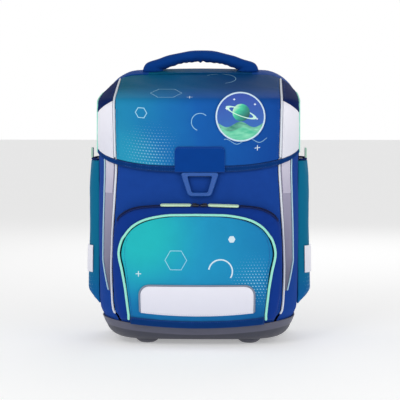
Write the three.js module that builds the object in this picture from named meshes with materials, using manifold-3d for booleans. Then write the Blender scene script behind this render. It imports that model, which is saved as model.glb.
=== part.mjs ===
// A child's school ransel: a satchel backpack with a moulded base, a lid that hangs over the front, a zipped
// front pocket, two side pockets, a padded grip and two shoulder straps. It stands closed on its four feet.
// Units are millimetres. +Z is up, -Y is the front of the bag, and y = 0 is the plane where the back panel starts.
import * as THREE from "three";
import { mergeVertices } from "three/addons/utils/BufferGeometryUtils.js";
import Module from "manifold-3d";

// Overall form
const BODY_HALF_WIDTH = 147; // side wall to the centre line
const BODY_DEPTH = 172; // back plane to the front wall, at its deepest
const SIDE_TOP = 345; // where the upright walls end and the lid starts to turn over
const LID_RISE = 51; // from there up to the top of the back
const CORNER_RADIUS = 45; // upright front corners, and the shoulders of the lid
const FRONT_BOW = 9; // how far the middle of the front stands out
const LID_CROWN = 5; // how far the middle of the lid stands up

// Walls and clearances
const GAP = 0.3; // between touching pieces
const BODY_WALL = 2; // stiffened cloth
const FLAP_WALL = 2;
const FLAP_CLEARANCE = 2.8; // the flap's inner face above the body's walls
const SIDE_TUCK = 8; // how far the side walls reach in under the wings
const BACK_LIP_START = 60; // from here up the back panel's edge widens to cover the side walls' ends
const POCKET_WALL = 1.6;
const BACK_WALL = 4; // padded board behind the wearer's back
const OVERLAY = 0.8; // tapes and reflective film sewn on top

// Moulded base
const TRAY_FLOOR = 8; // underside of the base above the ground
const TRAY_WALL = 2.6;
const TRAY_RIM = 40.5; // at the sides and the back
const TRAY_FRONT_RIM = 27; // at the middle of the front
const FOOT_SPREAD = 75; // feet from the centre line
const FOOT_INSET = 36; // feet in from the front wall and from the back plane
const FOOT_TOP_RADIUS = 19;
const FOOT_FACE_RADIUS = 8;

// Lid
const WING_WRAP = 1.17; // how far round the corner the wings reach, in radians
const FLAP_PANEL_SHARE = 0.81; // printed panel's half width, as a share of the body's
const KNUCKLE_RUN = 12; // where the wing's colour changes at the inner seam, past the side top
const WING_SPLIT_DROP = 18; // how much lower the colour changes at the wing's outer edge
const STRIP_DEPTH = 36; // fixed strip along the back edge, which carries the grip
const HEM_HEIGHT = 253; // lower edge of the hem at the middle
const HEM_RISE = 27; // how much higher the hem's lower edge is at the wing's outer edge
const HEM_BAND = 9; // height of the hem at the middle

// Tab, round patch and lock
const LOCK_SHIFT = 3.5; // tab and lock sit this far to the right of the middle
const TAB_HALF_WIDTH = 36;
const TAB_TOP = 290;
const TAB_CORNER = 6;
const PATCH_RADIUS = 36;
const PATCH_THICKNESS = 2.6;
const PATCH_SIDE = 62;
const PATCH_HEIGHT = 333;
const RING_TOP_WIDTH = 56;
const RING_BOTTOM_WIDTH = 33;
const RING_HEIGHT = 34.5;
const RING_BAR = 6.5;
const RING_THICKNESS = 5;
const RING_CORNER = 6;
const CATCH_WIDTH = 44;
const CATCH_HEIGHT = 20;
const CATCH_THICKNESS = 1.8;

// Front pocket
const POCKET_HALF_WIDTH = 107.5; // seam of the pocket's front
const POCKET_TOP = 192.5;
const POCKET_DEPTH = 25;
const POCKET_CROWN = 4;
const POCKET_MOUTH_HALF_WIDTH = 121; // where the gusset meets the body
const POCKET_MOUTH_TOP = 206;
const POCKET_HEM = 11;
const POCKET_START = 0.03; // share of the pocket's edge table that the base's rim hides
const BAND_HALF_WIDTH = 80;
const BAND_TOP = 90;
const BAND_BOTTOM = 50.5;
const BAND_SAG = 4.5; // how much lower the band's lower edge is at the middle
const BAND_CORNER = 13;

// Zip
const ZIP_WIDTH = 7;
const ZIP_END = 0.26; // share of the gusset's path that is left plain at each end
const ZIP_PLACE = 0.12; // share of the gusset's width between the body and the zip
const SLIDER_LENGTH = 11;
const SLIDER_THICKNESS = 3;
const PULL_LENGTH = 45;
const PULL_WIDTH = 6.5;
const PULL_THICKNESS = 3;
const PULL_DROOP = -0.09; // the right pull's turn, in radians

// Side pockets
const SIDE_POCKET_BULGE = 16;
const SIDE_POCKET_TOP = 268;
const SIDE_POCKET_BOTTOM = 65.5;
const SIDE_POCKET_FRONT = 44; // behind the front wall
const SIDE_POCKET_BACK = 16; // in front of the back plane
const SIDE_LABEL_TOP = 142;
const SIDE_LABEL_BOTTOM = 102;
const SIDE_LABEL_FRONT = 0.05; // the label's edges, as shares of the pocket's depth
const SIDE_LABEL_BACK = 0.3;
const SIDE_TAB_HEIGHT = 15;
const SIDE_TAB_WIDTH = 12;
const SIDE_TAB_THICKNESS = 3;

// Corner reflectors
const REFLECTOR_TOP = 276;
const REFLECTOR_TIP = 80;
const REFLECTOR_PATCH_FOOT = 222; // the lighter patch's lower edge
const REFLECTOR_WIDTH = 17;

// Piping
const PIPING_RADIUS = 1.6;
const POCKET_PIPING_RADIUS = 1.8;
const FINE_PIPING_RADIUS = 1.1;
const PIPING_SIDES = 6;
const PIPING_FOOT = 46; // lower end of the front pipings, behind the base's rim

// Grip
const GRIP_DEPTH = 25;
const GRIP_SETBACK = 19; // in front of the back plane

// Back and straps
const PAD_THICKNESS = 11;
const PAD_HALF_WIDTH = 112;
const PAD_TOP = 334;
const PAD_SPLIT = 176;
const PAD_BOTTOM = 58;
const PAD_CHANNEL = 12;
const PAD_LOWER_INSET = 28; // leaves room for the webbing at each side
const PAD_CORNER = 26;
const STRAP_WIDTH = 58;
const STRAP_THICKNESS = 9;
const STRAP_BOW = 72; // how far the straps stand out behind the back plane
const STRAP_TOP = 347;
const STRAP_DROP = 222; // padded part, from top to bottom
const STRAP_SIDE_TOP = 44;
const STRAP_SPREAD = 60; // how much further out the padded part ends
const WEBBING_WIDTH = 25;
const WEBBING_THICKNESS = 1.6;
const WEBBING_TAIL = 70;
const ADJUSTER_LENGTH = 28;
const ADJUSTER_BAR = 3;
const ADJUSTER_THICKNESS = 4;
const ADJUSTER_CORNER = 2;
const WEBBING_FOOT = 56; // height where the webbing is sewn to the back

const SEAM_ROOM = PIPING_RADIUS + 2 * GAP; // each side of a piping, along the cloth
const POCKET_SEAM_ROOM = POCKET_PIPING_RADIUS + 2 * GAP;
const FLAP_TOP = FLAP_CLEARANCE + FLAP_WALL;
const PAD_BACK = GAP * 2 + BACK_WALL;
const TAB_FACE = FLAP_TOP + GAP;

// Upright walls. up: share of SIDE_TOP. half: share of BODY_HALF_WIDTH. reach: share of BODY_DEPTH.
// seam: front piping, as a share of the half width there.
const WALLS = [
  { up: 0.023, half: 0.8, reach: 0.9, seam: 0.82 },
  { up: 0.038, half: 0.85, reach: 0.94, seam: 0.82 },
  { up: 0.058, half: 0.89, reach: 0.965, seam: 0.82 },
  { up: 0.087, half: 0.92, reach: 0.985, seam: 0.82 },
  { up: 0.118, half: 0.95, reach: 0.99, seam: 0.83 },
  { up: 0.148, half: 0.985, reach: 1.0, seam: 0.845 },
  { up: 0.19, half: 0.995, reach: 1.0, seam: 0.85 },
  { up: 0.32, half: 1.0, reach: 1.0, seam: 0.855 },
  { up: 0.46, half: 1.0, reach: 0.99, seam: 0.845 },
  { up: 0.64, half: 1.0, reach: 0.975, seam: 0.82 },
  { up: 0.76, half: 1.0, reach: 0.965, seam: 0.805 },
  { up: 1.0, half: 1.0, reach: 0.94, seam: 0.81 },
];

// Sections of the grip from its middle to a foot. x and up: the section's middle, from the centre line and above
// the lid. wide and tall: from there to the section's outer edge.
const GRIP_SECTIONS = [
  { x: 0, up: 22, wide: 0, tall: 9 },
  { x: 16, up: 21.1, wide: 1, tall: 8.9 },
  { x: 32, up: 18.5, wide: 1.9, tall: 8.8 },
  { x: 48, up: 14.1, wide: 2.8, tall: 8.5 },
  { x: 60, up: 9.8, wide: 3.5, tall: 8.3 },
  { x: 69, up: 6.8, wide: 11.5, tall: 6 },
  { x: 71.8, up: 3.8, wide: 14.7, tall: 3.3 },
  { x: 72.5, up: 0, wide: 16.5, tall: 0 },
];

// Side view of the lid. forward: share of the reach at SIDE_TOP. rise: share of LID_RISE.
const LID_PROFILE = [
  { forward: 1.0, rise: 0.0 },
  { forward: 0.995, rise: 0.12 },
  { forward: 0.965, rise: 0.24 },
  { forward: 0.905, rise: 0.32 },
  { forward: 0.78, rise: 0.43 },
  { forward: 0.58, rise: 0.6 },
  { forward: 0.38, rise: 0.76 },
  { forward: 0.19, rise: 0.9 },
  { forward: 0.0, rise: 1.0 },
];
const LID_ROWS = [5, 10, 16, 25, 45, 70, 95, 120, 140]; // runs from the side top over the lid, closest at the knuckle
const LID_NARROWING = 0.05; // share of the half width that the top of the lid loses towards its back

// Front pocket, from its lower end up to the middle of its top. seam and seamUp: the front's seam, as shares of
// POCKET_HALF_WIDTH and POCKET_TOP. deep: share of POCKET_DEPTH. mouth and mouthUp: where the gusset meets the
// body, as shares of POCKET_MOUTH_HALF_WIDTH and POCKET_MOUTH_TOP.
const POCKET_EDGE = [
  { seam: 0.895, seamUp: 0.13, deep: 0.3, mouth: 0.9, mouthUp: 0.12 },
  { seam: 0.935, seamUp: 0.385, deep: 0.8, mouth: 0.985, mouthUp: 0.36 },
  { seam: 0.97, seamUp: 0.57, deep: 0.96, mouth: 1.0, mouthUp: 0.54 },
  { seam: 1.0, seamUp: 0.71, deep: 1.0, mouth: 0.99, mouthUp: 0.7 },
  { seam: 0.975, seamUp: 0.81, deep: 0.96, mouth: 0.98, mouthUp: 0.83 },
  { seam: 0.905, seamUp: 0.88, deep: 0.9, mouth: 0.945, mouthUp: 0.91 },
  { seam: 0.79, seamUp: 0.935, deep: 0.83, mouth: 0.86, mouthUp: 0.96 },
  { seam: 0.61, seamUp: 0.975, deep: 0.77, mouth: 0.69, mouthUp: 0.99 },
  { seam: 0.32, seamUp: 0.998, deep: 0.73, mouth: 0.36, mouthUp: 1.0 },
  { seam: 0.0, seamUp: 1.0, deep: 0.72, mouth: 0.0, mouthUp: 1.0 },
];

// The gusset between the body (at 0) and the front's seam (at 1). side and deep: shares of its way inwards and out.
const GUSSET_PROFILE = [
  { at: 0, side: 0, deep: 0 },
  { at: 0.45, side: 0.3, deep: 0.62 },
  { at: 1, side: 1, deep: 1 },
];

// Side pocket from its foot to its mouth. up: share of its height. out: share of SIDE_POCKET_BULGE.
const SIDE_POCKET_ROWS = [
  { up: 0.0, out: 0.0 },
  { up: 0.05, out: 0.7 },
  { up: 0.15, out: 1.0 },
  { up: 0.5, out: 1.0 },
  { up: 0.85, out: 0.9 },
  { up: 1.0, out: 0.72 },
];

// Padded strap's middle line. out: share of STRAP_BOW. down: share of STRAP_DROP. side: share of STRAP_SPREAD.
const STRAP_ROUTE = [
  { out: 0.15, down: 0.0, side: 0.0 },
  { out: 0.3, down: -0.085, side: 0.03 },
  { out: 0.62, down: -0.03, side: 0.1 },
  { out: 0.88, down: 0.18, side: 0.3 },
  { out: 0.95, down: 0.48, side: 0.62 },
  { out: 0.78, down: 0.78, side: 0.88 },
  { out: 0.5, down: 1.0, side: 1.0 },
];

const COLOR = {
  royal: 0x1e4b96,
  navy: 0x0b2a66,
  print: 0x1f66b4,
  teal: 0x28a0c8,
  mint: 0xa0fae1,
  cream: 0xcdebc8,
  white: 0xecebf6,
  lilac: 0xb4afc6,
  grey: 0x4e4e5c,
  black: 0x1c1c24,
};
const CLOTH = { roughness: 0.75, metalness: 0 };
const MOULDED = { roughness: 0.45, metalness: 0 };
const FILM = { roughness: 0.3, metalness: 0.2 };

const MIRRORED = [
  { label: "left", side: -1 },
  { label: "right", side: 1 },
];

const wasm = await Module();
wasm.setup();
const bag = new THREE.Group();

function piece(name, geometry, color, finish) {
  const material = new THREE.MeshStandardMaterial({ color, ...finish });
  const mesh = new THREE.Mesh(geometry, material);
  mesh.name = name;
  bag.add(mesh);
  return mesh;
}

// Numbers and tables

function between(low, high, share) {
  return low + (high - low) * share;
}

// Value of a column where the key column has the given value, on straight lines between the rows.
function lookUp(table, key, column, at) {
  const last = table.length - 1;
  let row = 0;
  while (row < last - 1 && at > table[row + 1][key]) row += 1;
  const low = table[row];
  const high = table[row + 1];
  const share = THREE.MathUtils.clamp((at - low[key]) / (high[key] - low[key]), 0, 1);
  return between(low[column], high[column], share);
}

function steps(count) {
  return Array.from({ length: count + 1 }, (_, index) => index / count);
}

// Solids

// A closed solid from a list of triangles, turned to face out.
function solidFromTriangles(triangles) {
  let volume = 0;
  const kept = triangles.filter(([a, b, c]) => {
    const collapsed = [a.distanceTo(b), b.distanceTo(c), c.distanceTo(a)].some((edge) => edge < 2e-3);
    if (!collapsed) volume += a.dot(new THREE.Vector3().crossVectors(b, c));
    return !collapsed;
  });
  const corners = kept.flatMap(([a, b, c]) => (volume > 0 ? [a, b, c] : [a, c, b]));
  return new THREE.BufferGeometry().setFromPoints(corners);
}

function quad(a, b, c, d) {
  return [
    [a, b, c],
    [a, c, d],
  ];
}

// A wall between two faces that share a grid. Each face gives a point for shares across and along.
function slab(across, along, outer, inner) {
  const grid = (face) => steps(along).map((v) => steps(across).map((u) => face(u, v)));
  const top = grid(outer);
  const under = grid(inner);
  const triangles = [];
  for (let row = 0; row < along; row += 1) {
    for (let col = 0; col < across; col += 1) {
      triangles.push(...quad(top[row][col], top[row][col + 1], top[row + 1][col + 1], top[row + 1][col]));
      triangles.push(...quad(under[row][col], under[row + 1][col], under[row + 1][col + 1], under[row][col + 1]));
    }
    triangles.push(...quad(top[row][0], top[row + 1][0], under[row + 1][0], under[row][0]));
    triangles.push(...quad(top[row][across], under[row][across], under[row + 1][across], top[row + 1][across]));
  }
  for (let col = 0; col < across; col += 1) {
    triangles.push(...quad(top[0][col], under[0][col], under[0][col + 1], top[0][col + 1]));
    triangles.push(...quad(top[along][col], top[along][col + 1], under[along][col + 1], under[along][col]));
  }
  return solidFromTriangles(triangles);
}

// The same face moved along its own normal.
function lifted(face, height) {
  const STEP = 1e-3;
  return (u, v) => {
    const middle = face(u, v);
    const acrossStep = u > 0.5 ? -STEP : STEP;
    const alongStep = v > 0.5 ? -STEP : STEP;
    const across = face(u + acrossStep, v).sub(middle).multiplyScalar(Math.sign(acrossStep));
    const along = face(u, v + alongStep).sub(middle).multiplyScalar(Math.sign(alongStep));
    const normal = across.cross(along).normalize();
    return middle.addScaledVector(normal, height);
  };
}

// A closed solid through rings that have the same number of points.
function loft(rings) {
  const triangles = [];
  const count = rings[0].length;
  for (let ring = 0; ring + 1 < rings.length; ring += 1) {
    for (let index = 0; index < count; index += 1) {
      const next = (index + 1) % count;
      triangles.push(...quad(rings[ring][index], rings[ring][next], rings[ring + 1][next], rings[ring + 1][index]));
    }
  }
  for (const [ring, flip] of [[rings[0], true], [rings.at(-1), false]]) {
    const middle = ring.reduce((sum, point) => sum.add(point), new THREE.Vector3()).divideScalar(count);
    for (let index = 0; index < count; index += 1) {
      const next = ring[(index + 1) % count];
      triangles.push(flip ? [middle, next, ring[index]] : [middle, ring[index], next]);
    }
  }
  return solidFromTriangles(triangles);
}

// A round cord along a curve.
function tube(points, radius, count) {
  const section = new THREE.Shape();
  for (let side = 0; side < PIPING_SIDES; side += 1) {
    const angle = (side / PIPING_SIDES) * Math.PI * 2;
    const place = [radius * Math.cos(angle), radius * Math.sin(angle)];
    if (side === 0) section.moveTo(...place);
    else section.lineTo(...place);
  }
  section.closePath();
  const extrudePath = new THREE.CatmullRomCurve3(points, false, "centripetal");
  return new THREE.ExtrudeGeometry(section, { steps: count, extrudePath, curveSegments: 1 });
}

// A flat plate with its outline in the XZ plane, between two depths.
function plate(shape, front, back, segments = 6) {
  const settings = { depth: back - front, bevelEnabled: false, curveSegments: segments };
  return new THREE.ExtrudeGeometry(shape, settings).rotateX(Math.PI / 2).translate(0, back, 0);
}

// An outline through corners, each rounded off.
function roundedOutline(corners, radius) {
  const shape = new THREE.Shape();
  corners.forEach((place, index) => {
    const next = corners[(index + 1) % corners.length];
    const before = corners.at(index - 1).clone().sub(place).setLength(radius).add(place);
    const after = next.clone().sub(place).setLength(radius).add(place);
    if (index === 0) shape.moveTo(before.x, before.y);
    else shape.lineTo(before.x, before.y);
    shape.quadraticCurveTo(place.x, place.y, after.x, after.y);
  });
  shape.closePath();
  return shape;
}

// A rounded outline that is wider or narrower at its foot than at its top.
function roundedTrapezium(topWidth, footWidth, height, radius) {
  const corners = [
    new THREE.Vector2(-topWidth / 2, height / 2),
    new THREE.Vector2(-footWidth / 2, -height / 2),
    new THREE.Vector2(footWidth / 2, -height / 2),
    new THREE.Vector2(topWidth / 2, height / 2),
  ];
  return roundedOutline(corners, radius);
}

function roundedRectangle(width, height, radius) {
  return roundedTrapezium(width, width, height, radius);
}

function manifoldOf(geometry) {
  const bare = geometry.index ? geometry.toNonIndexed() : geometry.clone();
  bare.deleteAttribute("normal");
  bare.deleteAttribute("uv");
  const merged = mergeVertices(bare, 1e-3);
  const mesh = new wasm.Mesh({
    numProp: 3,
    vertProperties: merged.attributes.position.array,
    triVerts: new Uint32Array(merged.index.array),
  });
  return new wasm.Manifold(mesh);
}

function geometryOf(solid) {
  const mesh = solid.getMesh();
  const geometry = new THREE.BufferGeometry();
  geometry.setAttribute("position", new THREE.BufferAttribute(mesh.vertProperties, 3));
  geometry.setIndex(new THREE.BufferAttribute(mesh.triVerts, 1));
  return geometry;
}

// The bag's form: sections that are level in the walls and fan out over the lid

// The level section at a height.
function wallSection(height) {
  const up = height / SIDE_TOP;
  return {
    height,
    tilt: 0,
    half: BODY_HALF_WIDTH * lookUp(WALLS, "up", "half", up),
    reach: BODY_DEPTH * lookUp(WALLS, "up", "reach", up),
    seam: lookUp(WALLS, "up", "seam", up),
    bow: FRONT_BOW,
    narrowing: 0,
  };
}

const lidLine = new THREE.SplineCurve(
  LID_PROFILE.map(
    (row) => new THREE.Vector2(row.forward * wallSection(SIDE_TOP).reach, row.rise * LID_RISE),
  ),
);
const LID_RUN = lidLine.getLength(); // from the side top over the lid to the back edge
const STRIP_RUN = LID_RUN - STRIP_DEPTH;

// The section at a run measured over the bag: negative below SIDE_TOP, positive over the lid.
function sectionAt(run) {
  if (run <= 0) return wallSection(SIDE_TOP + run);
  const share = Math.min(run / LID_RUN, 1);
  const line = lidLine.getPointAt(share);
  return {
    height: SIDE_TOP,
    tilt: share === 1 ? Math.PI / 2 : Math.atan2(line.y, line.x),
    half: wallSection(SIDE_TOP).half,
    narrowing: LID_NARROWING * share,
    reach: line.length(),
    seam: WALLS.at(-1).seam,
    bow: between(FRONT_BOW, LID_CROWN, share),
  };
}

// Heights of the wall table's rows that the cloth walls have; the lowest ones lie inside the base.
const WALL_HEIGHTS = WALLS.slice(2).map((row) => row.up * SIDE_TOP);
const WALL_RUNS = WALL_HEIGHTS.map((height) => height - SIDE_TOP);
const LID_RUNS = LID_ROWS.filter((run) => run < STRIP_RUN - SEAM_ROOM);

// Row of a list for a share of the way through it.
function pick(list, share) {
  return list[Math.round(share * (list.length - 1))];
}

function flatSpan(section) {
  return section.half - CORNER_RADIUS;
}

function cornerSpan(section) {
  return flatSpan(section) + (CORNER_RADIUS * Math.PI) / 2;
}

function fullSpan(section) {
  return cornerSpan(section) + section.reach - CORNER_RADIUS;
}

// Span from the middle that lies at a distance from the centre line, on the front or its corner.
function spanAt(section, x) {
  const flat = flatSpan(section);
  if (x <= flat) return x;
  return flat + CORNER_RADIUS * Math.asin(Math.min((x - flat) / CORNER_RADIUS, 1));
}

// Point of the section's arch in its own plane: x, and distance from the back plane.
function archPoint(section, span) {
  const side = Math.sign(span) || 1;
  const along = Math.abs(span);
  const flat = flatSpan(section);
  let x = along;
  let out = section.reach;
  if (along > cornerSpan(section)) {
    x = section.half;
    out = section.reach - CORNER_RADIUS - (along - cornerSpan(section));
  } else if (along > flat) {
    const angle = (along - flat) / CORNER_RADIUS;
    x = flat + CORNER_RADIUS * Math.sin(angle);
    out = section.reach - CORNER_RADIUS * (1 - Math.cos(angle));
  }
  out += section.bow * (1 - (x / section.half) ** 2);
  x *= 1 - (section.narrowing * out) / section.reach;
  return new THREE.Vector2(side * x, out);
}

// Point of the bag's outer face at a section and a span, moved outwards in the section's plane. Over the lid
// every section ends, at each side, in the upper back corner of the upright side wall.
function onBag(section, span, outwards = 0) {
  const STEP = 0.05;
  if (section.tilt > 0 && Math.abs(span) > fullSpan(section) - STEP) {
    const upright = wallSection(SIDE_TOP);
    return onBag(upright, Math.sign(span) * fullSpan(upright), outwards);
  }
  const place = archPoint(section, span);
  const ahead = archPoint(section, span + STEP);
  const behind = archPoint(section, span - STEP);
  const tangent = ahead.sub(behind).normalize();
  const x = place.x - tangent.y * outwards;
  const out = place.y + tangent.x * outwards;
  const y = -out * Math.cos(section.tilt);
  const z = section.height + out * Math.sin(section.tilt);
  return new THREE.Vector3(x, y, z);
}

// A wall that follows the bag. span(section, u) and run(u, v) say where each grid point lies.
function bagWall(across, along, span, run, low, high) {
  const face = (outwards) => (u, v) => {
    const section = sectionAt(run(u, v));
    return onBag(section, span(section, u), outwards);
  };
  return slab(across, along, face(high), face(low));
}

// Span of the front piping and of the flap's inner and outer seams.
function frontSeam(section) {
  return spanAt(section, section.half * section.seam);
}

function flapSeam(section) {
  return spanAt(section, section.half * FLAP_PANEL_SHARE);
}

function wingEdge(section) {
  return flatSpan(section) + CORNER_RADIUS * WING_WRAP;
}

// Moulded base

function trayRing(height, outwards) {
  const section = wallSection(height);
  const flat = flatSpan(section);
  const right = [
    ...steps(4).map((share) => flat * share),
    ...steps(8).slice(1).map((share) => between(flat, cornerSpan(section), share)),
    fullSpan(section),
  ];
  const left = right.slice(1).map((span) => -span).reverse();
  const ring = [...left, ...right].map((span) => onBag(section, span, outwards));
  const back = BACK_WALL + 2 * GAP + outwards;
  const corner = (side) => new THREE.Vector3(side * (section.half + outwards), back, height);
  return [...ring, corner(1), corner(-1)];
}

function baseTray() {
  const heights = WALLS.map((row) => row.up * SIDE_TOP).filter((height) => height < TRAY_RIM);
  const above = (level) => heights.filter((height) => height > level + 1);
  const outside = [TRAY_FLOOR, ...above(TRAY_FLOOR), TRAY_RIM];
  const inside = [TRAY_FLOOR + TRAY_WALL, ...above(TRAY_FLOOR + TRAY_WALL)];
  const outer = manifoldOf(loft(outside.map((height) => trayRing(height, GAP + TRAY_WALL))));
  const inner = manifoldOf(loft([...inside, TRAY_RIM, TRAY_RIM + 5].map((height) => trayRing(height, GAP))));
  const dip = new THREE.Shape();
  dip.moveTo(-BODY_HALF_WIDTH, TRAY_RIM + 1);
  dip.quadraticCurveTo(0, 2 * TRAY_FRONT_RIM - TRAY_RIM - 1, BODY_HALF_WIDTH, TRAY_RIM + 1);
  dip.closePath();
  const cut = manifoldOf(plate(dip, -BODY_DEPTH * 1.5, -BODY_DEPTH * 0.6, 14));
  let tray = outer.subtract(inner).subtract(cut);
  for (const x of [-FOOT_SPREAD, FOOT_SPREAD]) {
    for (const y of [-FOOT_INSET, -(BODY_DEPTH - FOOT_INSET)]) {
      tray = tray.add(manifoldOf(foot().translate(x, y, 0)));
    }
  }
  return geometryOf(tray);
}

function foot() {
  const top = TRAY_FLOOR + TRAY_WALL / 2;
  const profile = [
    new THREE.Vector2(0, 0),
    new THREE.Vector2(FOOT_FACE_RADIUS, 0),
    new THREE.Vector2(FOOT_FACE_RADIUS * 1.5, TRAY_FLOOR * 0.16),
    new THREE.Vector2(FOOT_TOP_RADIUS * 0.9, TRAY_FLOOR * 0.6),
    new THREE.Vector2(FOOT_TOP_RADIUS, top),
    new THREE.Vector2(0, top),
  ];
  return new THREE.LatheGeometry(profile, 14).rotateX(Math.PI / 2);
}

piece("base_tray", baseTray(), COLOR.grey, MOULDED);

// Body walls

piece(
  "front_panel",
  bagWall(
    8,
    WALL_RUNS.length - 1,
    (section, u) => between(-1, 1, u) * (frontSeam(section) - SEAM_ROOM),
    (u, v) => pick(WALL_RUNS, v),
    -BODY_WALL,
    0,
  ),
  COLOR.royal,
  CLOTH,
);

// The side wall starts at the front piping and, over the lid, just under the wing's edge.
function sideWallStart(section) {
  const overLid = Math.min(section.tilt / 0.25, 1);
  return between(frontSeam(section) + SEAM_ROOM, wingEdge(section) - SIDE_TUCK, overLid);
}

const SIDE_RUNS = [...WALL_RUNS, ...LID_RUNS, STRIP_RUN, LID_RUN];

for (const { label, side } of MIRRORED) {
  const wall = bagWall(
    8,
    SIDE_RUNS.length - 1,
    (section, u) => side * between(sideWallStart(section), fullSpan(section), u),
    (u, v) => pick(SIDE_RUNS, v),
    -BODY_WALL,
    0,
  );
  piece(`side_panel_${label}`, wall, COLOR.royal, CLOTH);
}

// The back panel closes the back and stands up behind the lid's rear edge.
function backPanel() {
  const edge = WALL_HEIGHTS.slice(0, -1).map((height) => {
    const lip = FLAP_TOP * THREE.MathUtils.clamp(height / BACK_LIP_START - 1, 0, 1);
    return new THREE.Vector2(wallSection(height).half + lip, height);
  });
  const top = sectionAt(LID_RUN);
  const arch = steps(16).map((share) => {
    const place = onBag(top, between(fullSpan(top), -fullSpan(top), share), FLAP_TOP);
    return new THREE.Vector2(place.x, place.z);
  });
  const mirrored = edge.map((place) => new THREE.Vector2(-place.x, place.y)).reverse();
  return plate(new THREE.Shape([...edge, ...arch, ...mirrored]), GAP, GAP + BACK_WALL);
}

piece("back_panel", backPanel(), COLOR.navy, CLOTH);

// Front piping and corner reflectors

function pipingAlong(span, runs, outwards, radius, count) {
  const points = runs.map((run) => {
    const section = sectionAt(run);
    return onBag(section, span(section), outwards);
  });
  return tube(points, radius, count);
}

function reflectorStart(section) {
  return frontSeam(section) + SEAM_ROOM;
}

// The reflector narrows to a tip at its foot.
function reflectorEnd(section) {
  const climb = THREE.MathUtils.clamp((section.height - REFLECTOR_TIP) / (REFLECTOR_TOP - REFLECTOR_TIP), 0, 1);
  return reflectorStart(section) + REFLECTOR_WIDTH * Math.max(Math.min(0.1 + climb * 3, 0.7 + climb * 0.3), 0.1);
}

for (const { label, side } of MIRRORED) {
  const pipingRuns = [PIPING_FOOT - SIDE_TOP, ...WALL_RUNS.filter((run) => run > PIPING_FOOT - SIDE_TOP)];
  const piping = pipingAlong(
    (section) => side * frontSeam(section),
    pipingRuns,
    PIPING_RADIUS / 3,
    PIPING_RADIUS,
    28,
  );
  piece(`front_piping_${label}`, piping, COLOR.white, CLOTH);

  const film = bagWall(
    3,
    12,
    (section, u) => side * between(reflectorStart(section), reflectorEnd(section), u),
    (u, v) => between(REFLECTOR_TIP - SIDE_TOP, REFLECTOR_TOP - SIDE_TOP, v),
    GAP,
    GAP + OVERLAY,
  );
  piece(`corner_reflector_${label}`, film, COLOR.lilac, FILM);

  const patch = bagWall(
    3,
    4,
    (section, u) => side * between(reflectorStart(section) + 1, reflectorEnd(section) - 1, u),
    (u, v) => between(REFLECTOR_PATCH_FOOT, REFLECTOR_TOP, v) - SIDE_TOP,
    2 * GAP + OVERLAY,
    2 * GAP + 1.5 * OVERLAY,
  );
  piece(`corner_patch_${label}`, patch, COLOR.white, FILM);

  const edgeRuns = steps(7).map((share) => between(REFLECTOR_TIP - SIDE_TOP, REFLECTOR_TOP - SIDE_TOP, share));
  const edge = pipingAlong(
    (section) => side * (reflectorEnd(section) + FINE_PIPING_RADIUS + 2 * GAP),
    edgeRuns,
    FINE_PIPING_RADIUS + GAP,
    FINE_PIPING_RADIUS,
    16,
  );
  piece(`reflector_piping_${label}`, edge, COLOR.teal, CLOTH);
}

// Front pocket

function wallFront(x, height, outwards) {
  const section = wallSection(height);
  return onBag(section, Math.sign(x) * spanAt(section, Math.abs(x)), outwards);
}

function pocketCrown(x) {
  return POCKET_CROWN * (1 - (x / POCKET_HALF_WIDTH) ** 2);
}

// Values of the pocket's edge table at a share of the way from its lower end to the middle of its top.
function pocketEdge(share) {
  const spot = share * (POCKET_EDGE.length - 1);
  const row = Math.min(Math.floor(spot), POCKET_EDGE.length - 2);
  const low = POCKET_EDGE[row];
  const high = POCKET_EDGE[row + 1];
  const at = (column) => between(low[column], high[column], spot - row);
  return {
    seam: at("seam") * POCKET_HALF_WIDTH,
    seamUp: at("seamUp") * POCKET_TOP,
    deep: at("deep") * POCKET_DEPTH,
    mouth: at("mouth") * POCKET_MOUTH_HALF_WIDTH,
    mouthUp: at("mouthUp") * POCKET_MOUTH_TOP,
  };
}

// Depth of the pocket's front at a height.
const POCKET_LINE = steps(POCKET_EDGE.length - 1).map((share) => pocketEdge(share));

function pocketDepthAt(height) {
  return lookUp(POCKET_LINE, "seamUp", "deep", height);
}

function onPocket(x, height, outwards) {
  return wallFront(x, height, pocketDepthAt(height) + pocketCrown(x) + outwards);
}

// Stations all round the pocket's edge, from its lower left end over the top to its lower right end: the edge
// table's rows and the middles between them. Each is a side and a share of the table.
const POCKET_STATIONS = (() => {
  const rows = 2 * (POCKET_EDGE.length - 1);
  const right = steps(rows).slice(1).map((share) => ({ side: 1, share }));
  right.unshift({ side: 1, share: POCKET_START });
  const left = right.slice(0, -1).map(({ share }) => ({ side: -1, share }));
  return [...left, ...right.reverse()];
})();

// The lower edge of the pocket follows the base's rim.
function rimHeight(x) {
  return between(TRAY_FRONT_RIM, TRAY_RIM, (x / BODY_HALF_WIDTH) ** 2) + GAP;
}

// Rows of the pocket's front above its hem: the edge table's heights and the middles between them.
const POCKET_HEIGHTS = POCKET_LINE.slice(1, -1).flatMap((edge, index) => [
  (edge.seamUp + POCKET_LINE[index].seamUp) / 2,
  edge.seamUp,
]);

function pocketFace(outwards) {
  return (u, v) => {
    const row = pick([0, ...POCKET_HEIGHTS], v);
    const half = lookUp(POCKET_LINE, "seamUp", "seam", row) - POCKET_SEAM_ROOM;
    const x = between(-1, 1, u) * half;
    const lowered = POCKET_SEAM_ROOM * THREE.MathUtils.smoothstep(row, 0.7 * POCKET_TOP, POCKET_TOP);
    return onPocket(x, row === 0 ? rimHeight(x) : row - lowered, outwards);
  };
}
const pocketFront = slab(8, POCKET_HEIGHTS.length, pocketFace(0), pocketFace(-POCKET_WALL));
piece("pocket_front", pocketFront, COLOR.print, CLOTH);

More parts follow.
